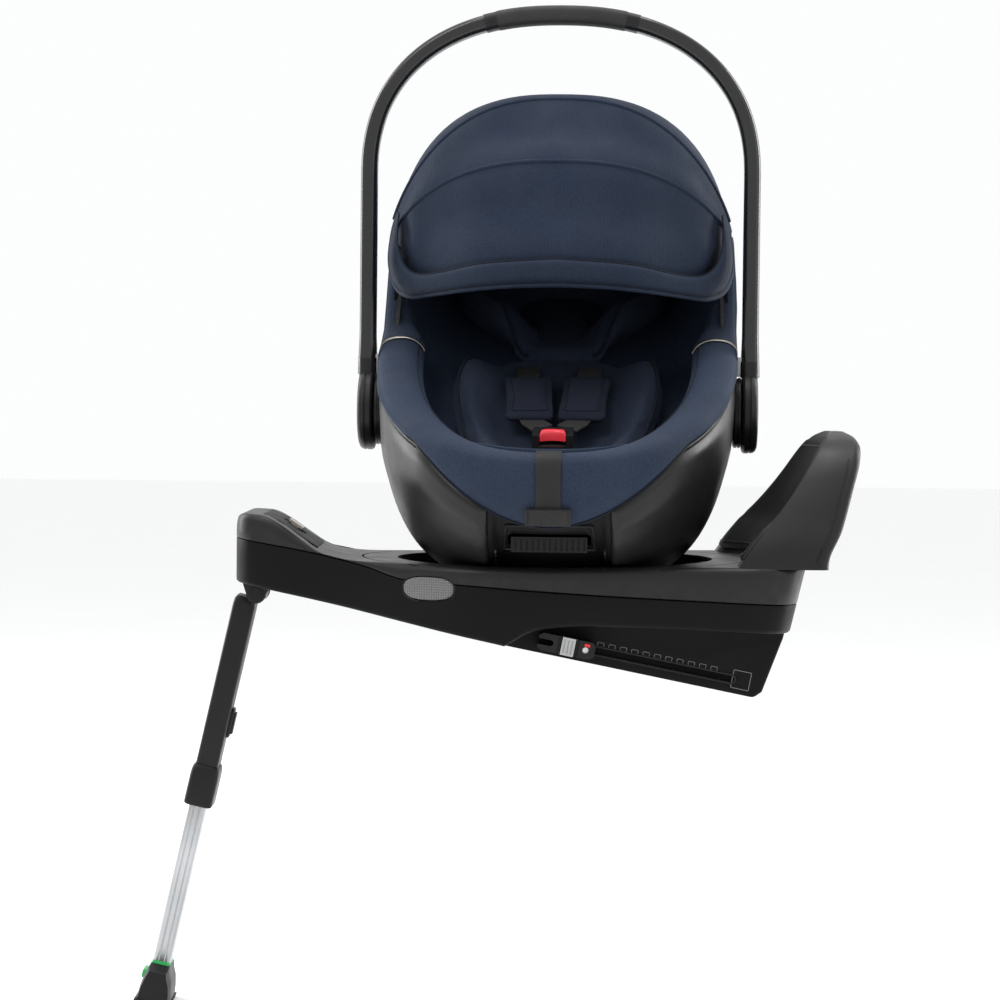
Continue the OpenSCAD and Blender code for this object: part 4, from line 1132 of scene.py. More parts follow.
# ------------------------------------------------------------------ carrier: shapes shared with the CAD model
def superellipse(half, t, e):
    return (half[0] * power(math.cos(t), 2 / e), half[1] * power(math.sin(t), 2 / e))


def rim_exp(t):
    return FOOT_EXP if math.sin(t) < 0 else HEAD_EXP


def rim_out(t):
    e = 2 - 2 / rim_exp(t)
    v = (power(math.cos(t), e) / SHELL_HALF[0], power(math.sin(t), e) / SHELL_HALF[1])
    n = math.hypot(*v)
    return v[0] / n, v[1] / n


def rim_xy(t, inset=0.0):
    p, d = superellipse(SHELL_HALF, t, rim_exp(t)), rim_out(t)
    return p[0] - inset * d[0], SHELL_Y + p[1] - inset * d[1]


def rim_z(y):
    low = FOOT_RIM_Z + RIM_SLOPE * (y - SHELL_Y + SHELL_HALF[1])
    return mix(low, HEAD_RIM_Z, smooth((y - 95) / 95))


def edge_z(t):
    return rim_z(rim_xy(t)[1]) - RIM_DROP


def shell_point(t, v, out=0.0):
    """On the outer shell: v is 0 at the rim and 1 where the side meets the flat bottom."""
    top, low = rim_xy(t), superellipse(SHELL_LOW, t, rim_exp(t))
    s = math.sin(t)
    e = 2 / mix(2.3, 2 if s < 0 else 1.6, s * s)
    cv, sv = max(1e-6, math.cos(v * math.pi / 2)), max(1e-6, math.sin(v * math.pi / 2))
    drop = edge_z(t) - SHELL_LOW_Z
    run = math.hypot(top[0] - low[0], top[1] - low[1])
    lean = Vector((cv ** (2 - e) * drop, sv ** (2 - e) * run)).normalized()
    d, c = rim_out(t), cv ** e
    return (mix(low[0], top[0], c) + out * lean[0] * d[0], mix(low[1], top[1], c) + out * lean[0] * d[1],
            edge_z(t) - drop * sv ** e - out * lean[1])


def floor_z(y):
    d, reach = y - BIGHT[0], 50
    bent = abs(d) if abs(d) > reach else (d * d + reach * reach) / (2 * reach)
    return BIGHT[1] + d * (BACK_SLOPE - SEAT_SLOPE) / 2 + bent * (BACK_SLOPE + SEAT_SLOPE) / 2


def tub_point(t, v, inside=0.0):
    top, d = rim_xy(t, WALL + 0.8), rim_out(t)
    low = superellipse(TUB_HALF, t, TUB_EXP)
    low = (low[0], low[1] + TUB_Y)
    c, s = math.cos(v * math.pi / 2), math.sin(v * math.pi / 2)
    return (mix(low[0], top[0], c) - inside * d[0], mix(low[1], top[1], c) - inside * d[1],
            mix(edge_z(t), floor_z(low[1]), s) + inside * smooth(v * 6))


def tub_floor(t, f, inside=0.0):
    p, d = superellipse(TUB_HALF, t, TUB_EXP), rim_out(t)
    x, y = (p[0] - inside * d[0]) * f, (p[1] - inside * d[1]) * f + TUB_Y
    return x, y, floor_z(y) + inside


def drape(t):
    """How far the padded edge hangs down outside the shell, deepest at the foot."""
    return 16 + (57 * max(0.0, 1 - (abs(rim_xy(t)[0]) / 138) ** 1.9) if math.sin(t) < 0 else 0)


def drape_v(t):
    s = math.sin(t)
    e = mix(2.3, 2 if s < 0 else 1.6, s * s)
    share = clamp((drape(t) - RIM_DROP) / (edge_z(t) - SHELL_LOW_Z))
    return math.asin(share ** (e / 2)) / (math.pi / 2)


def around(n=144, extra=36):
    """Angles round the rim, closer together across the foot end."""
    even = [2 * math.pi * i / n for i in range(n)]
    foot = [math.radians(a) for a in steps(243, 297, extra)]
    keep = [a for a in even if not math.radians(242) < a < math.radians(298)]
    return sorted(keep + foot)


# ------------------------------------------------------------------ carrier: shell and fairings
def recess(p):
    """Share of the grip recess at a point of the shell: 1 in its middle, 0 outside it."""
    if p[1] > 0:
        return 0.0
    return (1 - smooth((abs(p[0]) - 56) / 7)) * (1 - smooth((p[2] - 150) / 14)) * smooth((p[2] - 94) / 8)


def carrier_shell():
    angles = around(160, 70)

    def wall_ring(v, out):
        ring = []
        for t in angles:
            p = shell_point(t, v, out)
            ring.append(shell_point(t, v, out - 9 * recess(p)))
        return ring

    def floor_ring(f, out):
        return [(x * f, y * f, SHELL_LOW_Z - out) for x, y in
                (superellipse(SHELL_LOW, t, rim_exp(t)) for t in angles)]

    levels = crowded(0, 1, 30)
    outer = [floor_ring(f, 0) for f in (0.3, 0.7)] + [wall_ring(v, 0) for v in reversed(levels)]
    inner = [wall_ring(v, -WALL) for v in levels] + [floor_ring(f, -WALL) for f in (0.7, 0.3)]
    obj = made_object("carrier_shell_moulding", *skin(outer + inner), place=CARRIER)
    for side in (-1, 1):
        x = side * (SHELL_HALF[0] - 3.4)
        plate = [[(x + side * w, y, z) for y, z in box_strip(18, 372, HOOD_PIVOT[1])] for w in (0, 2.6)]
        cut(obj, cutter(skin(plate), CARRIER), how="UNION")
    window = skin([[(x, y, z + 123) for x, z in box_ring(88, 22, 4)] for y in (-300, -185)])
    cut(obj, cutter(window, CARRIER))
    # the shell's darker copy of the dark plastic is painted shade
    finish_piece(obj, "carrier", SHELL_PAINTED_SHADE, ["carrier_shell"], "dark_plastic", 42)

    def bar(x0, z0, x1, z1, lift, r=1.5):
        line = []
        for i in range(9):
            p = on_front(mix(x0, x1, i / 8), mix(z0, z1, i / 8))
            line.append((p[0], p[1] - lift, p[2]))
        return skin(swept(line, rounded(2 * r, 2 * r, n=8), (0, 0, 1) if abs(z1 - z0) < abs(x1 - x0) else (1, 0, 0)))

    frame_bars = [bar(-47, 137, 47, 137, 1), bar(-47, 137, -49, 109, 1), bar(47, 137, 49, 109, 1),
                  bar(-49, 109, 49, 109, 1)]
    piece("grip_surround", several(*frame_bars), "carrier", BLACK, CARRIER, slot="black_plastic")
    rods = [bar(x, 109, x, 96, 2.2, 1.2) for x in (-59, 59)]
    piece("latch_rods", several(*rods), "carrier", STEEL, CARRIER, slot="steel")


def on_front(x, z, out=0.0):
    """Point of the shell's foot end at x and z, found by halving along each direction in turn."""
    t, v = math.radians(270), 0.6
    for _ in range(4):
        low, high = 0.05, 0.999
        for _ in range(22):
            v = (low + high) / 2
            if shell_point(t, v, out)[2] > z:
                low = v
            else:
                high = v
        low, high = math.radians(215), math.radians(325)
        for _ in range(22):
            t = (low + high) / 2
            if shell_point(t, v, out)[0] < x:
                low = t
            else:
                high = t
    p = shell_point(t, v, out)
    return shell_point(t, v, out - 9 * recess(p))


def box_strip(width, low, high):
    """Upright strip with a round head, about the hood's pivot: (y, z) pairs."""
    r = width / 2
    head = [(HOOD_PIVOT[0] + r * math.cos(a), HOOD_PIVOT[1] + r * math.sin(a)) for a in steps(0, math.pi, 14)]
    return [(HOOD_PIVOT[0] + r, low)] + head + [(HOOD_PIVOT[0] - r, low)]


def fairing(side, word):
    """Wing on the shell's side, from its straight front edge round to behind the hub."""
    front_x, rear = 66, math.radians(62)

    def angle_at(v):
        lo, hi = math.radians(-89.9), math.radians(-20)
        for _ in range(26):
            mid = (lo + hi) / 2
            if shell_point(mid, v, 6)[0] < front_x:
                lo = mid
            else:
                hi = mid
        return hi

    def at(a, b, out):
        """a from front to rear, b from the upper edge to the lower."""
        t = mix(angle_at(mix(0.45, 0.97, b)), rear, a)
        top = drape_v(t) + 0.022
        v = mix(top, mix(0.97, 0.93, smooth(a)), b)
        t = mix(angle_at(v), rear, a)
        p = shell_point(t, v, out)
        return (side * p[0], p[1], max(p[2], TOP_Z + 2.6 if math.hypot(p[0], p[1]) > DISH_R - 4 else p[2]))

    def crown(a, b):
        edge = min(1.0, min(a / 0.02, (1 - a) / 0.03, b / 0.055, (1 - b) / 0.03))
        round_off = math.sqrt(max(0.0, 1 - (1 - edge) ** 2))
        ridge = 1.6 * math.exp(-((b - 0.16 - 0.10 * a) / 0.07) ** 2)
        return 2.2 + 5.6 * round_off + ridge * round_off

    spread_a, spread_b = crowded(0, 1, 70), crowded(0, 1, 36)
    face = [[at(a, b, crown(a, b)) for a in spread_a] for b in spread_b]
    back = [[at(a, b, 2.0) for a in spread_a] for b in spread_b]
    obj = made_object(f"fairing_{word}_wing", *two_sided(face, back), place=CARRIER)
    hole = skin([[(x, PIVOT[0] + 14.4 * math.cos(k), PIVOT[1] + 14.4 * math.sin(k))
                  for k in (2 * math.pi * i / 40 for i in range(40))] for x in (side * 150, side * 240)])
    cut(obj, cutter(hole, CARRIER))
    finish_piece(obj, "carrier", FAIRING, [f"fairing_{word}"], "dark_plastic", 45)

    line = [shell_point(t, drape_v(t) + 0.012, 3.4) for t in (math.radians(d) for d in steps(-66, 8, 70))]
    line = [(side * x, y, z) for x, y, z in line]
    tube(f"edge_piping_{word}", line, 2.1, "carrier", BLACK, CARRIER, slot="black_plastic")


def trim_wires():
    """Satin wires that cross the padded rim beside the handle's hubs."""
    for side, word in ((-1, "left"), (1, "right")):
        t0 = math.radians(2)
        for t in (math.radians(d) for d in steps(-30, 30, 240)):
            if abs(rim_xy(t)[1] - (PIVOT[0] - 6)) < abs(rim_xy(t0)[1] - (PIVOT[0] - 6)):
                t0 = t
        line = []
        for a in steps(-25, 168, 30):
            x, y, z = roll_point(t0, a, 0.6)
            line.append((side * x, y - 8 * smooth((a + 35) / 200), z))
        flat = rounded(4.2, 1.6, 2.4, 12)
        piece(f"rim_wire_{word}", skin(swept(line, flat, (0, 1, 0.4))), "carrier", TRIM, CARRIER,
              stands_for=["rim_trim"] if side < 0 else (), slot="trim_metal", angle=60)


ROLL = (25, 14)             # half width and half height of the padded roll along the rim
ROLL_BEHIND = (13, 11)      # of its narrow stretch under the hood


# ------------------------------------------------------------------ carrier: cover and pads
def roll_point(t, a, grow=0.0):
    """On the rim roll: a is 0 facing out, 90 on top and 180 facing in (degrees)."""
    f = smooth((140 - rim_xy(t)[1]) / 75)
    half, rise = (mix(b, r, f) for b, r in zip(ROLL_BEHIND, ROLL))
    turn = math.radians(a)
    x, y = rim_xy(t, half - 8 - (half + grow) * power(math.cos(turn), 0.9))
    return x, y, edge_z(t) - 2 + (rise + grow) * power(math.sin(turn), 0.9) - 5 * f * smooth((a - 90) / 90)


def seat_cover():
    angles = around(180, 80)

    def soft(p, t, share=1.0):
        """Slow waves in the cloth, a millimetre or so high."""
        k = 0.9 * share * (math.sin(9 * t + p[2] * 0.05) + math.sin(5 * t - p[1] * 0.04) * 0.7)
        d = rim_out(t)
        return p[0] + k * d[0], p[1] + k * d[1], p[2]

    hang = [1.0, 0.985, 0.9, 0.75, 0.6, 0.45, 0.3, 0.18]
    outer = []
    for h in hang:
        out = mix(9.5, 3.2, smooth((h - 0.55) / 0.45)) if h < 1 else 1.2
        outer.append([soft(shell_point(t, h * drape_v(t), out), t, 1 - abs(2 * h - 1)) for t in angles])
    roll = [[roll_point(t, a) for t in angles]
            for a in (4, 18, 32, 48, 64, 80, 96, 112, 128, 142, 156, 168, 178, 190)]
    wall = [[soft(tub_point(t, v, 13), t) for t in angles]
            for v in (0.14, 0.2, 0.26, 0.36, 0.46, 0.56, 0.66, 0.76, 0.86, 0.95)]
    floor = [[tub_floor(t, f, 10) for t in angles] for f in (0.92, 0.8, 0.65, 0.5, 0.35, 0.2)]
    back = [[tub_floor(t, f, 5) for t in angles] for f in (0.2, 0.5, 0.8)]
    back += [[tub_point(t, v, 5) for t in angles] for v in (0.95, 0.8, 0.6, 0.4, 0.2, 0.05)]
    back += [[(*rim_xy(t, 4), edge_z(t) + 1) for t in angles]]
    back += [[shell_point(t, h * drape_v(t), 1.0) for t in angles] for h in (0.1, 0.4, 0.7, 0.97)]
    obj = made_object("padded_cover", *skin(back + outer + roll + wall + floor), place=CARRIER)
    finish_piece(obj, "carrier", NAVY, ["seat_cover"], "navy_fabric", 70)
    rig.padded(obj, fill=0.7)

    t_line = [math.radians(a) for a in steps(-168, 168, 300)]
    seam = [roll_point(t - math.pi / 2, 134, 0.3) for t in t_line]
    tube("cover_inner_seam", seam, 0.8, "carrier", PIPING, CARRIER, slot="navy_dark_fabric")
    hem = [shell_point(t - math.pi / 2, drape_v(t - math.pi / 2) * 0.985, 3.6) for t in t_line]
    tube("cover_hem_cord", hem, 1.2, "carrier", PIPING, CARRIER, slot="navy_dark_fabric")


def pad_at(p, h):
    """Point h above the cover's face at plan position p."""
    return p[0], p[1], floor_z(p[1]) + COVER_TOP + h


def side_share(t):
    return smooth((abs(math.cos(t)) - 0.5) / 0.4)


def pad_shape(middle_y, outline, heights):
    """Closed rings of a pad: outline(t) is its plan edge, heights(t, f) its top at share f."""
    angles = [2 * math.pi * i / 120 for i in range(120)]

    def ring(f, top):
        made = []
        for t in angles:
            x, y = outline(t)
            under_edge = 1 + 0.45 * heights(t, 0.9) * smooth((f - 0.7) / 0.3)
            made.append(pad_at((x * f, middle_y + y * f), heights(t, f) if top else under_edge))
        return made

    under = [ring(f, False) for f in (0.3, 0.6, 0.85, 0.98)]
    over = [ring(f, True) for f in (1.0, 0.97, 0.93, 0.88, 0.82, 0.75, 0.66, 0.56, 0.44, 0.3, 0.15)]
    return skin(under + over)


def rolled(f, low, high, crest=0.86, width=0.2):
    """Height across a pad with a raised edge: round on its outside, easing to its middle."""
    if f > crest:
        k = (f - crest) / (1.02 - crest)
        return high * math.sqrt(max(0.05, 1 - k * k))
    return mix(high, low, smooth((crest - f) / (width + 0.2)))


INSERT_Y = -15


def seat_insert():
    def outline(t):
        x, y = superellipse((122, 165), t, 2.8)
        return x * mix(0.76, 1.03, smooth((y + 165) / 250)), y

    def heights(t, f):
        high = mix(15, mix(40, 52, smooth((math.sin(t) + 0.2) / 0.8)), side_share(t))
        return rolled(f, 12, high)

    obj = made_object("infant_insert", *pad_shape(INSERT_Y, outline, heights), place=CARRIER)
    puff(obj, 5)
    finish_piece(obj, "carrier", NAVY_DARK, ["seat_insert"], "navy_dark_fabric", 180)
    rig.padded(obj, fill=0.6)
    tree = surface_of(obj)
    line = []
    for t in (math.radians(a) for a in steps(-52, 232, 160)):
        x, y = outline(t)
        line.append(pad_at((x * 0.955, INSERT_Y + y * 0.955), heights(t, 0.93) + 3))
    tube("insert_piping", laid_on(tree, line, 1.2, CARRIER), 1.9, "carrier", PIPING, CARRIER,
         slot="navy_dark_fabric")
    lip_angles = [math.radians(a) for a in steps(236, 304, 40)]

    def lip(t, v, out):
        edge = 1 - max(abs((math.degrees(t) - 270) / 34) ** 4, abs((v - 0.27) / 0.25) ** 6)
        return tub_point(t, v, 12 + out * max(0.0, edge) ** 0.5)

    front = [[lip(t, v, 9) for t in lip_angles] for v in steps(0.02, 0.52, 18)]
    rear = [[lip(t, v, -1) for t in lip_angles] for v in steps(0.02, 0.52, 18)]
    lip_obj = piece("insert_front_lip", two_sided(front, rear), "carrier", NAVY, CARRIER, slot="navy_fabric", angle=180)
    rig.padded(lip_obj, fill=0.6)


def headrest():
    mid_y = 211

    def outline(t):
        x, y = superellipse((122, 86), t, 3)
        return x * mix(0.60, 1.04, smooth((y + 86) / 120)), y

    def heights(t, f):
        high = mix(20, 70, side_share(t) if math.sin(t) < 0 else max(side_share(t), 0.55))
        return rolled(f, 16, high, 0.87, 0.26)

    obj = made_object("headrest_wings", *pad_shape(mid_y, outline, heights), place=CARRIER)
    puff(obj, 6)
    finish_piece(obj, "headrest", NAVY_DARK, ["headrest_cushion"], "navy_fabric", 180)
    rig.padded(obj, fill=0.6)
    tree = surface_of(obj)
    line = []
    for t in (math.radians(a) for a in steps(-64, 244, 180)):
        x, y = outline(t)
        line.append(pad_at((x * 0.95, mid_y + y * 0.95), heights(t, 0.93) + 4))
    tube("headrest_piping", laid_on(tree, line, 1.2, CARRIER), 2.0, "headrest", PIPING, CARRIER,
         slot="navy_dark_fabric")

    def middle(t):
        x, y = superellipse((62, 74), t, 3.2)
        return x * mix(0.55, 1.04, smooth((y + 74) / 110)), y

    def middle_height(t, f):
        return 14 + 10 * math.sqrt(max(0.0, 1 - f ** 6))

    pad = made_object("headrest_middle_pad", *pad_shape(mid_y - 4, middle, middle_height), place=CARRIER)
    puff(pad, 4, voxel=4)
    finish_piece(pad, "headrest", NAVY_DEEP, slot="pad_fabric", angle=180)
    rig.padded(pad, fill=0.5)


PAD_LINE = [(28.5, -40, 252), (30, -5, 266), (32, 28, 282), (34, 60, 298)]


def shoulder_pads():
    for side, word in ((-1, "left"), (1, "right")):
        spine = spline([(side * x, y, z + 1) for x, y, z in PAD_LINE], 26)
        rings = []
        for i, ((across, out), q) in enumerate(zip(frames_along(spine, (1, 0, 0)), spine)):
            k = abs(2 * i / 26 - 1)
            w = 55 * (1 - max(0.0, (k - 0.82) / 0.18) ** 2 * 0.16)
            h = 11 * math.sqrt(max(0.08, 1 - max(0.0, (k - 0.86) / 0.14) ** 2))
            rings.append([tuple(q + across * a + out * b) for a, b in rounded(w, h, 4, 28)])
        obj = made_object(f"shoulder_pad_{word}", *skin(rings), place=CARRIER)
        puff(obj, 3, voxel=2.8)
        finish_piece(obj, "headrest", NAVY_DEEP, ["shoulder_pads"], "pad_fabric", 180)
        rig.padded(obj, fill=0.5)
        tree = surface_of(obj)
        border, top = [], frames_along(spine, (1, 0, 0))
        for a, b in box_ring(44, 92, 8, 6) + box_ring(44, 92, 8, 6)[:1]:
            i = round((b / 111 + 0.5) * 26)
            across, out = top[i]
            k = (b / 111 + 0.5) * 26 - i
            q = spine[i] + (spine[min(i + 1, 26)] - spine[max(i - 1, 0)]) / 2 * k
            up = out if out.z > 0 else -out
            border.append(q + across * a + up * 12)
        ring = laid_on(tree, spread(border, 110), 0.3, CARRIER)
        tube(f"shoulder_pad_seam_{word}", ring, 0.75, "headrest", PIPING, CARRIER, slot="navy_dark_fabric")


def strap_piece(name, route, width, thick, body, material, slot="webbing", stands_for=()):
    """Flat webbing with slightly raised selvedges."""
    half = width / 2
    top = [(-half, 0), (-half + 0.6, thick * 0.62), (-half + 2.6, thick * 0.5), (0, thick * 0.42),
           (half - 2.6, thick * 0.5), (half - 0.6, thick * 0.62), (half, 0)]
    section = top + [(a, -b) for a, b in reversed(top[1:-1])]
    obj = made_object(name, *skin(swept(spline(route, 40), section, (1, 0, 0))), place=CARRIER)
    return finish_piece(obj, body, material, stands_for, slot, 60)


def harness():
    for side, word in ((-1, "left"), (1, "right")):
        route = [(side * 13, -58.6, 243), (side * 19, -51, 246.5), (side * 26, -38, 251.5), (side * 30, 0, 266),
                 (side * 33, 50, 290), (side * 35, 84, 304), (side * 36, 112, 312)]
        strap = strap_piece(f"harness_strap_{word}", route, 27, 1.9, None, WEBBING,
                            stands_for=["harness_straps"])
        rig.blend(strap, "carrier", "headrest", CARRIER @ Vector((0, -57, 243)) * MM,
                 CARRIER @ Vector((0, -38, 252)) * MM)
    strap_piece("crotch_strap", [(0, -117, 200), (0, -120, 210), (0, -121, 221)], 25, 1.9, "carrier", WEBBING)
    foot = math.radians(270)
    over = [roll_point(foot, a, 1.4) for a in (112, 92, 72, 52, 34, 16)]
    down = [shell_point(foot, h * drape_v(foot), 10.8) for h in (0.12, 0.3, 0.5, 0.64)]
    strap_piece("adjuster_strap_front", over + down, 27, 2.0, "carrier", STRAP_DARK, stands_for=["adjuster_strap"])
    tab = spline([shell_point(foot, h * drape_v(foot), 13) for h in (0.60, 0.68, 0.76, 0.84)], 14)
    piece("adjuster_tab", skin(swept(tab, rounded(48, 4.6, 5, 24), (1, 0, 0))), "carrier", STRAP_DARK, CARRIER,
          slot="webbing", round_edges=0.6)
    for dx, word in ((-21, "left"), (21, "right")):
        row = [(dx, p.y - 2.5, p.z) for p in tab]
        stitches(f"adjuster_tab_stitching_{word}", row, lambda f: (0, -1, 0), "carrier", THREAD, CARRIER,
                 pitch=3.4, length=2.2, radius=0.4)


def buckle():
    soften("buckle_body", BLACK, 2.2)
    soften("buckle_tongues", BLACK, 1.2)
    tilt = Matrix.Translation((0, -112, 232)) @ Matrix.Rotation(math.radians(10), 4, "X")

    def at(a, b, top):
        edge = 1 - max(abs(a) ** 8, abs(b) ** 8)
        z = 0.6 if not top else 8.5 + 3.4 * max(0.0, edge) ** 0.5
        bow = 0.45 * a * a
        return tuple(tilt @ Vector((13.9 * a, -11.8 + 12.6 * mix(0.1 - bow, 1 - bow, (b + 1) / 2), z)))

    top = [[at(a, b, True) for a in steps(-1, 1, 20)] for b in steps(-1, 1, 16)]
    low = [[at(a, b, False) for a in steps(-1, 1, 20)] for b in steps(-1, 1, 16)]
    piece("buckle_red_button", two_sided(top, low), "buckle_button", RED, CARRIER, ["buckle_button"],
          "button_red", 50)


carrier_shell()
fairing(-1, "left")
fairing(1, "right")
trim_wires()
seat_cover()
seat_insert()
headrest()
shoulder_pads()
harness()
buckle()
soften("seat_tub", FOAM, 0.4)
soften("dock_bars", STEEL, 0.4)

# ------------------------------------------------------------------ hood
def hood_arch(u):
    return max(0.0, 1 - abs(u) ** HOOD_EXP) ** 0.72


def bow_body(k):
    return ("hood_front", "hood_mid", "hood_rear")[k]


def hood_panel_point(k, f, u, sag=0.0, lift=0.0):
    """On the cloth between bow k and the next one: f is 0 to 1 between them, u is -1 to 1 across."""
    half = HOOD_HALF + 5 + 4 * (k + f)
    turn = math.radians(mix(BOWS[k], BOWS[k + 1], f) if k < 2 else BOWS[2])
    r = (HOOD_R + 6 - 4 * (k + f) - sag * math.sin(math.pi * f) ** 2) * hood_arch(u) + 2 + lift
    return Vector((half * u, HOOD_PIVOT[0] - r * math.cos(turn), HOOD_PIVOT[1] + r * math.sin(turn)))


def rear_panel_point(f, u, lift=0.0):
    """Cloth from the rear bow back to the shell's rim, crowned over the head of the carrier."""
    ahead = hood_panel_point(1, 1, u, lift=lift)
    x, y = rim_xy(math.radians(90 - 72 * u), -10.5 - lift)
    p = ahead.lerp(Vector((x, y, HEAD_RIM_Z - 8)), f)
    p.z += 50 * math.sin(math.pi * f ** 0.8) * max(0.0, 1 - u ** 4) ** 0.6 - 14 * u ** 8 * smooth(f * 5)
    return p


def area_of(grid):
    """Area and longest sides of a grid of points, in metres."""
    total = 0.0
    for row, after in zip(grid, grid[1:]):
        for i in range(len(row) - 1):
            a, b, c, d = (Vector(p) for p in (row[i], row[i + 1], after[i + 1], after[i]))
            total += ((b - a).cross(c - a).length + (c - a).cross(d - a).length) / 2
    wide = max(length_of(row) for row in grid)
    long = max(length_of([row[i] for row in grid]) for i in range(len(grid[0])))
    return total * MM * MM, wide * MM, long * MM


def cloth_panel(name, at, rows, columns, node, rests_on, thick=1.2):
    """Closed thin sheet through at(row, column, lift), returned with the facts for declaring it, among them the flat
    size it was cut to.
    """
    grid = [[at(r, c, 0.0) for c in columns] for r in rows]
    under = [[at(r, c, -thick) for c in columns] for r in rows]
    obj = made_object(name, *two_sided(grid, under), place=CARRIER)
    finish_piece(obj, None, NAVY_HOOD, [node] if node else (), "navy_fabric", 60)
    area, wide, long = area_of(grid)
    return obj, dict(flat=(wide, long), held="stretched", rests_on=rests_on, area=area)


def hood():
    across = [0.985 * math.sin(a) for a in steps(-math.pi / 2, math.pi / 2, 56)]
    apex = [CARRIER @ hood_panel_point(k, 0, 0) * MM for k in (0, 1)] + [CARRIER @ hood_panel_point(1, 1, 0) * MM]

    seam = brim_lines()[0]

    def front_point(f, u, lift):
        """From behind the brim's upper seam up to the middle bow."""
        x = (HOOD_HALF + 5) * u
        near = min(seam, key=lambda p: abs(p.x - x))
        drop = (near.z - 6 - HOOD_PIVOT[1]) / max(30.0, (HOOD_R + 6) * hood_arch(u))
        low = (math.degrees(math.asin(max(-0.5, min(0.4, drop)))) - BOWS[0]) / (BOWS[1] - BOWS[0])
        share = mix(min(0.0, low), 1, f)
        return hood_panel_point(0, share, u, 11 if share > 0 else 0, lift)

    front, facts = cloth_panel("hood_front_panel", front_point, steps(0, 1, 26), across, "hood_fabric",
                               ["hood_bow_front", "hood_bow_mid"])
    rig.blend(front, "hood_mid", "hood_front", apex[1].lerp(apex[0], 0.25), apex[1].lerp(apex[0], 0.75))
    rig.sheet(front, **facts)

    middle, facts = cloth_panel(
        "hood_middle_panel", lambda f, u, d: hood_panel_point(1, f, u, 8, d), steps(0, 1, 20), across,
        None, ["hood_bow_mid", "hood_bow_rear"])
    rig.blend(middle, "hood_rear", "hood_mid", apex[2].lerp(apex[1], 0.25), apex[2].lerp(apex[1], 0.75))
    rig.sheet(middle, **facts)

    rear, facts = cloth_panel(
        "hood_rear_panel", rear_panel_point, steps(0, 1, 30), across, None,
        ["hood_bow_rear", "carrier_shell_moulding"])
    back = CARRIER @ Vector((0, 0.839, 0.545)) * 0.25
    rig.blend(rear, "carrier", "hood_rear", apex[2] + back, apex[2])
    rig.sheet(rear, **facts)

    for k, f, word in ((1, 0, "middle"), (1, 1, "rear")):
        line = [hood_panel_point(k, f, 0.97 * math.sin(a), lift=0.1) for a in steps(-1.5, 1.5, 80)]
        tube(f"hood_ridge_{word}", line, 2.3, bow_body(k + f), NAVY_HOOD, CARRIER, slot="navy_fabric")
    brim()


BRIM_OUT = [(0, 398), (52, 396.5), (99, 393), (140, 389), (170, 388), (190, 400), (197, 424), (197, 448),
            (193, 470), (186, 488)]
BRIM_IN = [(0, 429.4), (83, 424), (124, 416.5), (155, 414.4), (173, 425), (182, 446), (185, 466), (184, 486)]


def brim_point(x, z, lift=0.0):
    reach = 200 * max(0.0, 1 - min(1.0, abs(x) / 203) ** HOOD_EXP) ** 0.72 + lift
    return Vector((x + math.copysign(lift * smooth((abs(x) - 120) / 70), x),
                   HOOD_PIVOT[0] - math.sqrt(max(0.0, reach * reach - (z - HOOD_PIVOT[1]) ** 2)), z))


def brim_lines(n=46):
    lines = []
    for half in (BRIM_IN, BRIM_OUT):
        right = spline([(x, 0, z) for x, z in half], n)
        lines.append([Vector((-p.x, 0, p.z)) for p in reversed(right[1:])] + right)
    return lines


def brim():
    inner, outer = brim_lines()

    def at(i, b, lift):
        p = inner[i].lerp(outer[i], b)
        return brim_point(p.x, p.z, lift)

    count = len(inner)
    shares = [0, 0.03, 0.08, 0.16, 0.28, 0.4, 0.52, 0.64, 0.74, 0.8, 0.84, 0.88, 0.93, 0.97, 1.0]

    def height(b):
        hem = 0.84
        if b < hem:
            k = abs(2 * b / hem - 1)
            return 1.2 + 5.2 * (1 - k ** 5)
        k = abs(2 * (b - hem) / (1 - hem) - 1)
        return 1.4 + 2.6 * (1 - k ** 3)

    def full(i):
        """The brim thins out towards its two ends, where it lies on the hood's side."""
        return mix(0.1, 1, smooth(min(i, count - 1 - i) / 12))

    face = [[at(i, b, height(b) * full(i)) for i in range(count)] for b in shares]
    back = [[at(i, b, -2.2 if 0 < b < 1 else -0.6) for i in range(count)] for b in shares]
    obj = made_object("hood_brim", *two_sided(face, back), place=CARRIER)
    subdivide(obj, 1)
    finish_piece(obj, "hood_front", NAVY_HOOD, slot="navy_fabric", angle=180)
    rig.padded(obj, fill=0.6)
    tube("hood_brim_seam", [at(i, 0.0, 1.9 * full(i)) for i in range(count)], 0.9, "hood_front", PIPING, CARRIER,
         slot="navy_dark_fabric")
    tube("hood_hem_seam", [at(i, 0.84, 1.9 * full(i)) for i in range(count)], 0.6, "hood_front", PIPING, CARRIER,
         slot="navy_dark_fabric")
    row = [at(i, 0.80, height(0.80) * full(i) + 0.1) for i in range(count)]
    stitches("hood_hem_stitching", row, lambda f: (0, -1, 0.1), "hood_front", THREAD, CARRIER, pitch=4.0)


# ------------------------------------------------------------------ handle
def handle_line(n_arch=72):
    inset = HANDLE_SECTION[0] / 2
    half, rise = HANDLE_HALF - inset, HANDLE_TOP - HANDLE_BEND - inset
    arch = [(half * power(math.cos(a), 2 / 2.3), PIVOT[0], HANDLE_BEND + rise * power(math.sin(a), 2 / 2.3))
            for a in steps(0, math.pi, n_arch)]
    low = PIVOT[1] + YOKE_R - 6
    right = [(half, PIVOT[0], z) for z in steps(low, HANDLE_BEND, 16)[:-1]]
    return right + arch + [(-x, y, z) for x, y, z in reversed(right)]


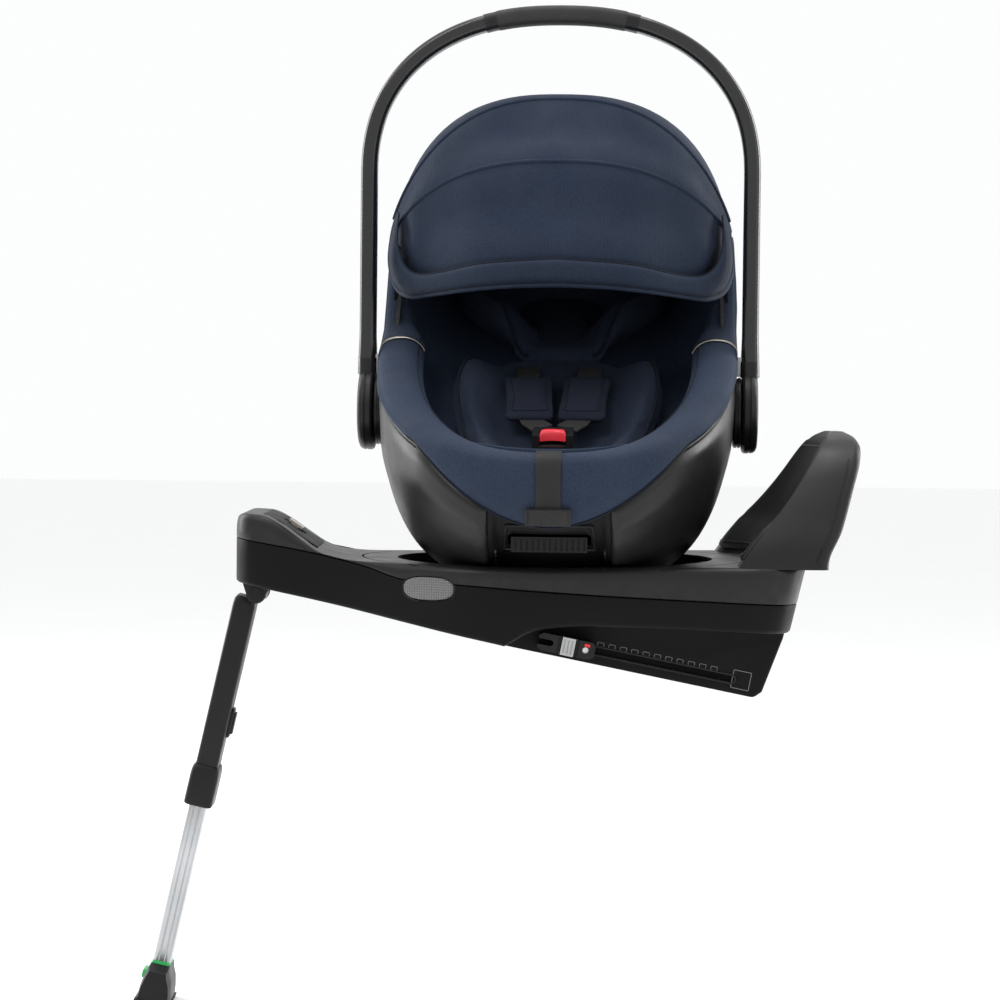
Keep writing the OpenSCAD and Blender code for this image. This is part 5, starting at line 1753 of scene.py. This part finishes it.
def handle_section(grow, n=36):
    """Oval bar with a shallow flute along its front and back faces."""
    made = []
    for a, b in rounded(HANDLE_SECTION[1] + grow, HANDLE_SECTION[0] + grow, 3.0, n):
        flute = 0.9 * math.exp(-(b / 4.0) ** 2) if abs(a) > 12 and grow == 0 else 0.0
        made.append((a - math.copysign(flute, a), b))
    return made


def handle():
    line = spread(handle_line(), 150)

    def flare(f):
        near = min(f, 1 - f) * 150
        return 1 + 0.16 * (1 - smooth(near / 7))

    rings = swept(line, handle_section(0), (0, 1, 0), flare)
    piece("handle_bow", skin(rings), "handle", GLOSS, CARRIER, ["handle_bar"], "handle_plastic", 50)
    grip = [p for p in spread(handle_line(), 900) if abs(p.x) < 75 and p.z > HANDLE_BEND]
    grip = spread(grip, 60)

    def ends(f):
        return 0.93 + 0.07 * smooth(min(f, 1 - f) / 0.02)

    sleeve = swept(grip, handle_section(2.6), (0, 1, 0), ends)
    piece("handle_grip_sleeve", skin(sleeve), "handle", GRIP, CARRIER, ["handle_grip"], "rubber", 60)
    for side in (-1, 1):
        ring_at = min(range(len(line)), key=lambda i: abs(line[i].x - side * 77.5) + (line[i].z < 650) * 900)
        collar = [line[max(0, min(150, ring_at + i))] for i in (-1, 0, 1)]
        word = "left" if side < 0 else "right"
        piece(f"handle_grip_collar_{word}", skin(swept(spread(collar, 4), handle_section(1.4), (0, 1, 0))),
              "handle", DARK, CARRIER, slot="dark_plastic")

    yoke = [(208.2, 4), (208.2, 41), (209.4, 44.6), (211.5, 46), (216.2, 46), (216.9, 45.1), (217.7, 45.1),
            (218.4, 46), (222, 45.2), (224.6, 43), (226, 39.5), (226.3, 35), (225.6, 31.5), (224.9, 30.8),
            (224.9, 18.4), (224.2, 16.8), (221, 16.4), (221, 4)]
    lug = [[(x, PIVOT[0] + y, z) for x, y in ((a + 217.2, b) for a, b in box_ring(17.6, w, 5))]
           for z, w in ((PIVOT[1] + 20, 42), (PIVOT[1] + 38, 40), (PIVOT[1] + 46, 37), (PIVOT[1] + 52, 35.5),
                        (PIVOT[1] + 58, 34.5))]
    shapes = []
    for mirror in (False, True):
        for rings in (lathe_x(yoke, PIVOT, 96), lug):
            shapes.append(skin(mirrored(rings) if mirror else rings))
    piece("handle_yoke_discs", several(*shapes), "handle", DARK, CARRIER, ["handle_yokes"], "dark_plastic", 32)

    hub = [(188, 4), (188, 13.6), (198.7, 13.6), (198.7, 37.5), (199.6, 39.4), (201.4, 40), (202.6, 40),
           (203, 38.9), (204, 38.9), (204.4, 40), (206.4, 40), (207.3, 39), (207.3, 9.5)]
    cap = [(223, 2), (223, 13.8), (226.4, 13.8), (227.2, 13.0), (227.3, 10.5), (226.4, 8.5), (226.2, 2)]
    for side, word in ((1, "right"), (-1, "left")):
        rings = lathe_x(hub, PIVOT, 96)
        piece(f"hub_{word}_moulding", skin(rings if side > 0 else mirrored(rings)), "carrier", DARK, CARRIER,
              [f"hub_{word}"], "dark_plastic", 32)
        rings = lathe_x(cap, PIVOT, 56)
        piece(f"handle_button_{word}_cap", skin(rings if side > 0 else mirrored(rings)),
              f"handle_button_{word}", PAD, CARRIER, [f"handle_button_{word}"], "dark_plastic", 32)
        soften(f"adapter_tab_{word}", GREY, 1.0)


# ------------------------------------------------------------------ support leg
def leg_tube(name, size, levels, corner, body, material, stands_for, slot):
    """Hollow-looking rectangular tube: levels is a list of (z, shrink)."""
    rings = [[(x - 11, y, z) for x, y in box_ring(size[0] - s, size[1] - s, max(0.6, corner - s / 2), 6)]
             for z, s in levels]
    return made_object(name, *skin(rings), place=LEG), (body, material, stands_for, slot)


def support_leg():
    obj, facts = leg_tube("leg_upper_profile", (25, 46), [(-243, 1), (-242, 0), (-16, 0), (-10, 1.6), (-7, 5)], 5.5,
                          "leg_upper", BLACK, ["leg_upper_tube"], "black_plastic")
    knuckle = skin([[(10.4 * math.cos(a), y, 10.4 * math.sin(a)) for a in (2 * math.pi * i / 48 for i in range(48))]
                    for y in (-23, 23)])
    boss = skin([[(d, y, -150 + z) for y, z in box_ring(24 - g, 34 - g, 5, 5)]
                 for d, g in ((-2, 0), (3.6, 0), (4.8, 1.2), (5.2, 3.4))])
    cut(obj, cutter(knuckle, LEG), cutter(boss, LEG), how="UNION")
    hollow = skin([[(d, y, -150 + z) for y, z in box_ring(17.6, 25.4, 3.4, 5)] for d in (-1.5, 12)])
    cut(obj, cutter(hollow, LEG))
    bevel(obj, 0.8, 2, 35)
    finish_piece(obj, *facts)
    groove = [[(x - 11, y, z) for x, y in box_ring(25.5, 46.5, 5.7, 6)] for z in (-196.2, -194.8)]
    piece("leg_upper_band", skin(groove), "leg_upper", DARK, LEG, slot="dark_plastic", round_edges=0.4)

    collar = [(-247, 3.0), (-246, 0.8), (-244, 0), (-214, 0), (-207, 0.8), (-203, 2.6), (-201, 5.4)]
    obj, facts = leg_tube("leg_collar_sleeve", (32, 53), collar, 7.5, "leg_upper", BLACK, ["leg_collar"],
                          "black_plastic")
    finish_piece(obj, *facts, 34)

    obj, facts = leg_tube("leg_lower_profile", (19.4, 40), [(-440, 0.8), (-439.4, 0), (-172, 0), (-171, 0.8)], 4.2,
                          "leg_lower", ALUMINIUM, ["leg_lower_tube"], "leg_aluminium")
    flutes = []
    for side in (-1, 1):
        for x in (-14.2, -7.8):
            flutes.append(skin([[(x + a, side * 20 + b, z) for a, b in rounded(1.6, 1.5, 2, 8)]
                                for z in (-441, -170)]))
    cut(obj, cutter(several(*flutes), LEG))
    finish_piece(obj, *facts, 34)

    outline = [(-29, 4), (-27.6, 20), (-25.8, 30), (-23.6, 38), (-21.8, 44), (-0.3, 44), (1.6, 37), (5.4, 28.5),
               (8.0, 16), (9, 4)]
    place = LEG @ Matrix.Translation((0, 0, -LEG_LENGTH))
    rings = []
    for y in [-39, -38, -34] + steps(-30, 30, 8) + [34, 38, 39]:
        pinch = 1 - 0.10 * smooth((abs(y) - 26) / 14)
        rings.append([(mix(-10, x, pinch), y, mix(4, z, 1 - 0.16 * smooth((abs(y) - 20) / 20))) for x, z in outline])
    foot = made_object("leg_foot_shoe", *skin(rings), place=place)
    hollow = skin([[(-34, y, 28 + z) for y, z in box_ring(29, 11, 2.4, 4)],
                   [(-22, y, 28 + z) for y, z in box_ring(29, 11, 2.4, 4)]])
    cut(foot, cutter(hollow, place))
    bevel(foot, 1.8, 3, 30)
    finish_piece(foot, "leg_lower", BLACK, ["leg_foot"], "black_plastic")
    window = [[(d, y, 28 + z) for y, z in box_ring(27.6 - g, 9.6 - g, 2.2, 5)]
              for d, g in ((-22, 0), (-28.6, 0), (-29.4, 1.2), (-29.6, 3.4))]
    piece("leg_foot_window", skin(window), "leg_lower", GREEN, place, ["leg_foot_indicator"], "indicator_green", 40)
    band = [[(x - 11, y, z) for x, y in box_ring(20.4 + g, 41 + g, 4.6, 6)] for z, g in ((38, 0), (46.6, 0), (47.4, -0.8))]
    piece("leg_foot_band", skin(band), "leg_lower", GREEN, place, slot="indicator_green", angle=40)
    soften("leg_foot_sole", RUBBER, 0.8)
    soften("leg_height_button", PAD, 1.2)


def anchor_arms():
    for word in ("near", "far"):
        soften(f"connector_{word}", BLACK, 1.6)
        soften(f"connector_flag_{word}", FLAG_RED, 0.5)
        soften(f"connector_sleeve_{word}", GREY, 1.2)


hood()
handle()
support_leg()
anchor_arms()
soften("carrier_release_lever", BLACK, 0.6)
for bow_name in ("hood_bow_front", "hood_bow_mid", "hood_bow_rear"):
    soften(bow_name, BLACK, 0.3)

with open("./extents.json", "w") as report:
    json.dump({"cad": [list(v) for v in cad_bounds], "visual": [list(v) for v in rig.bounds()]}, report)
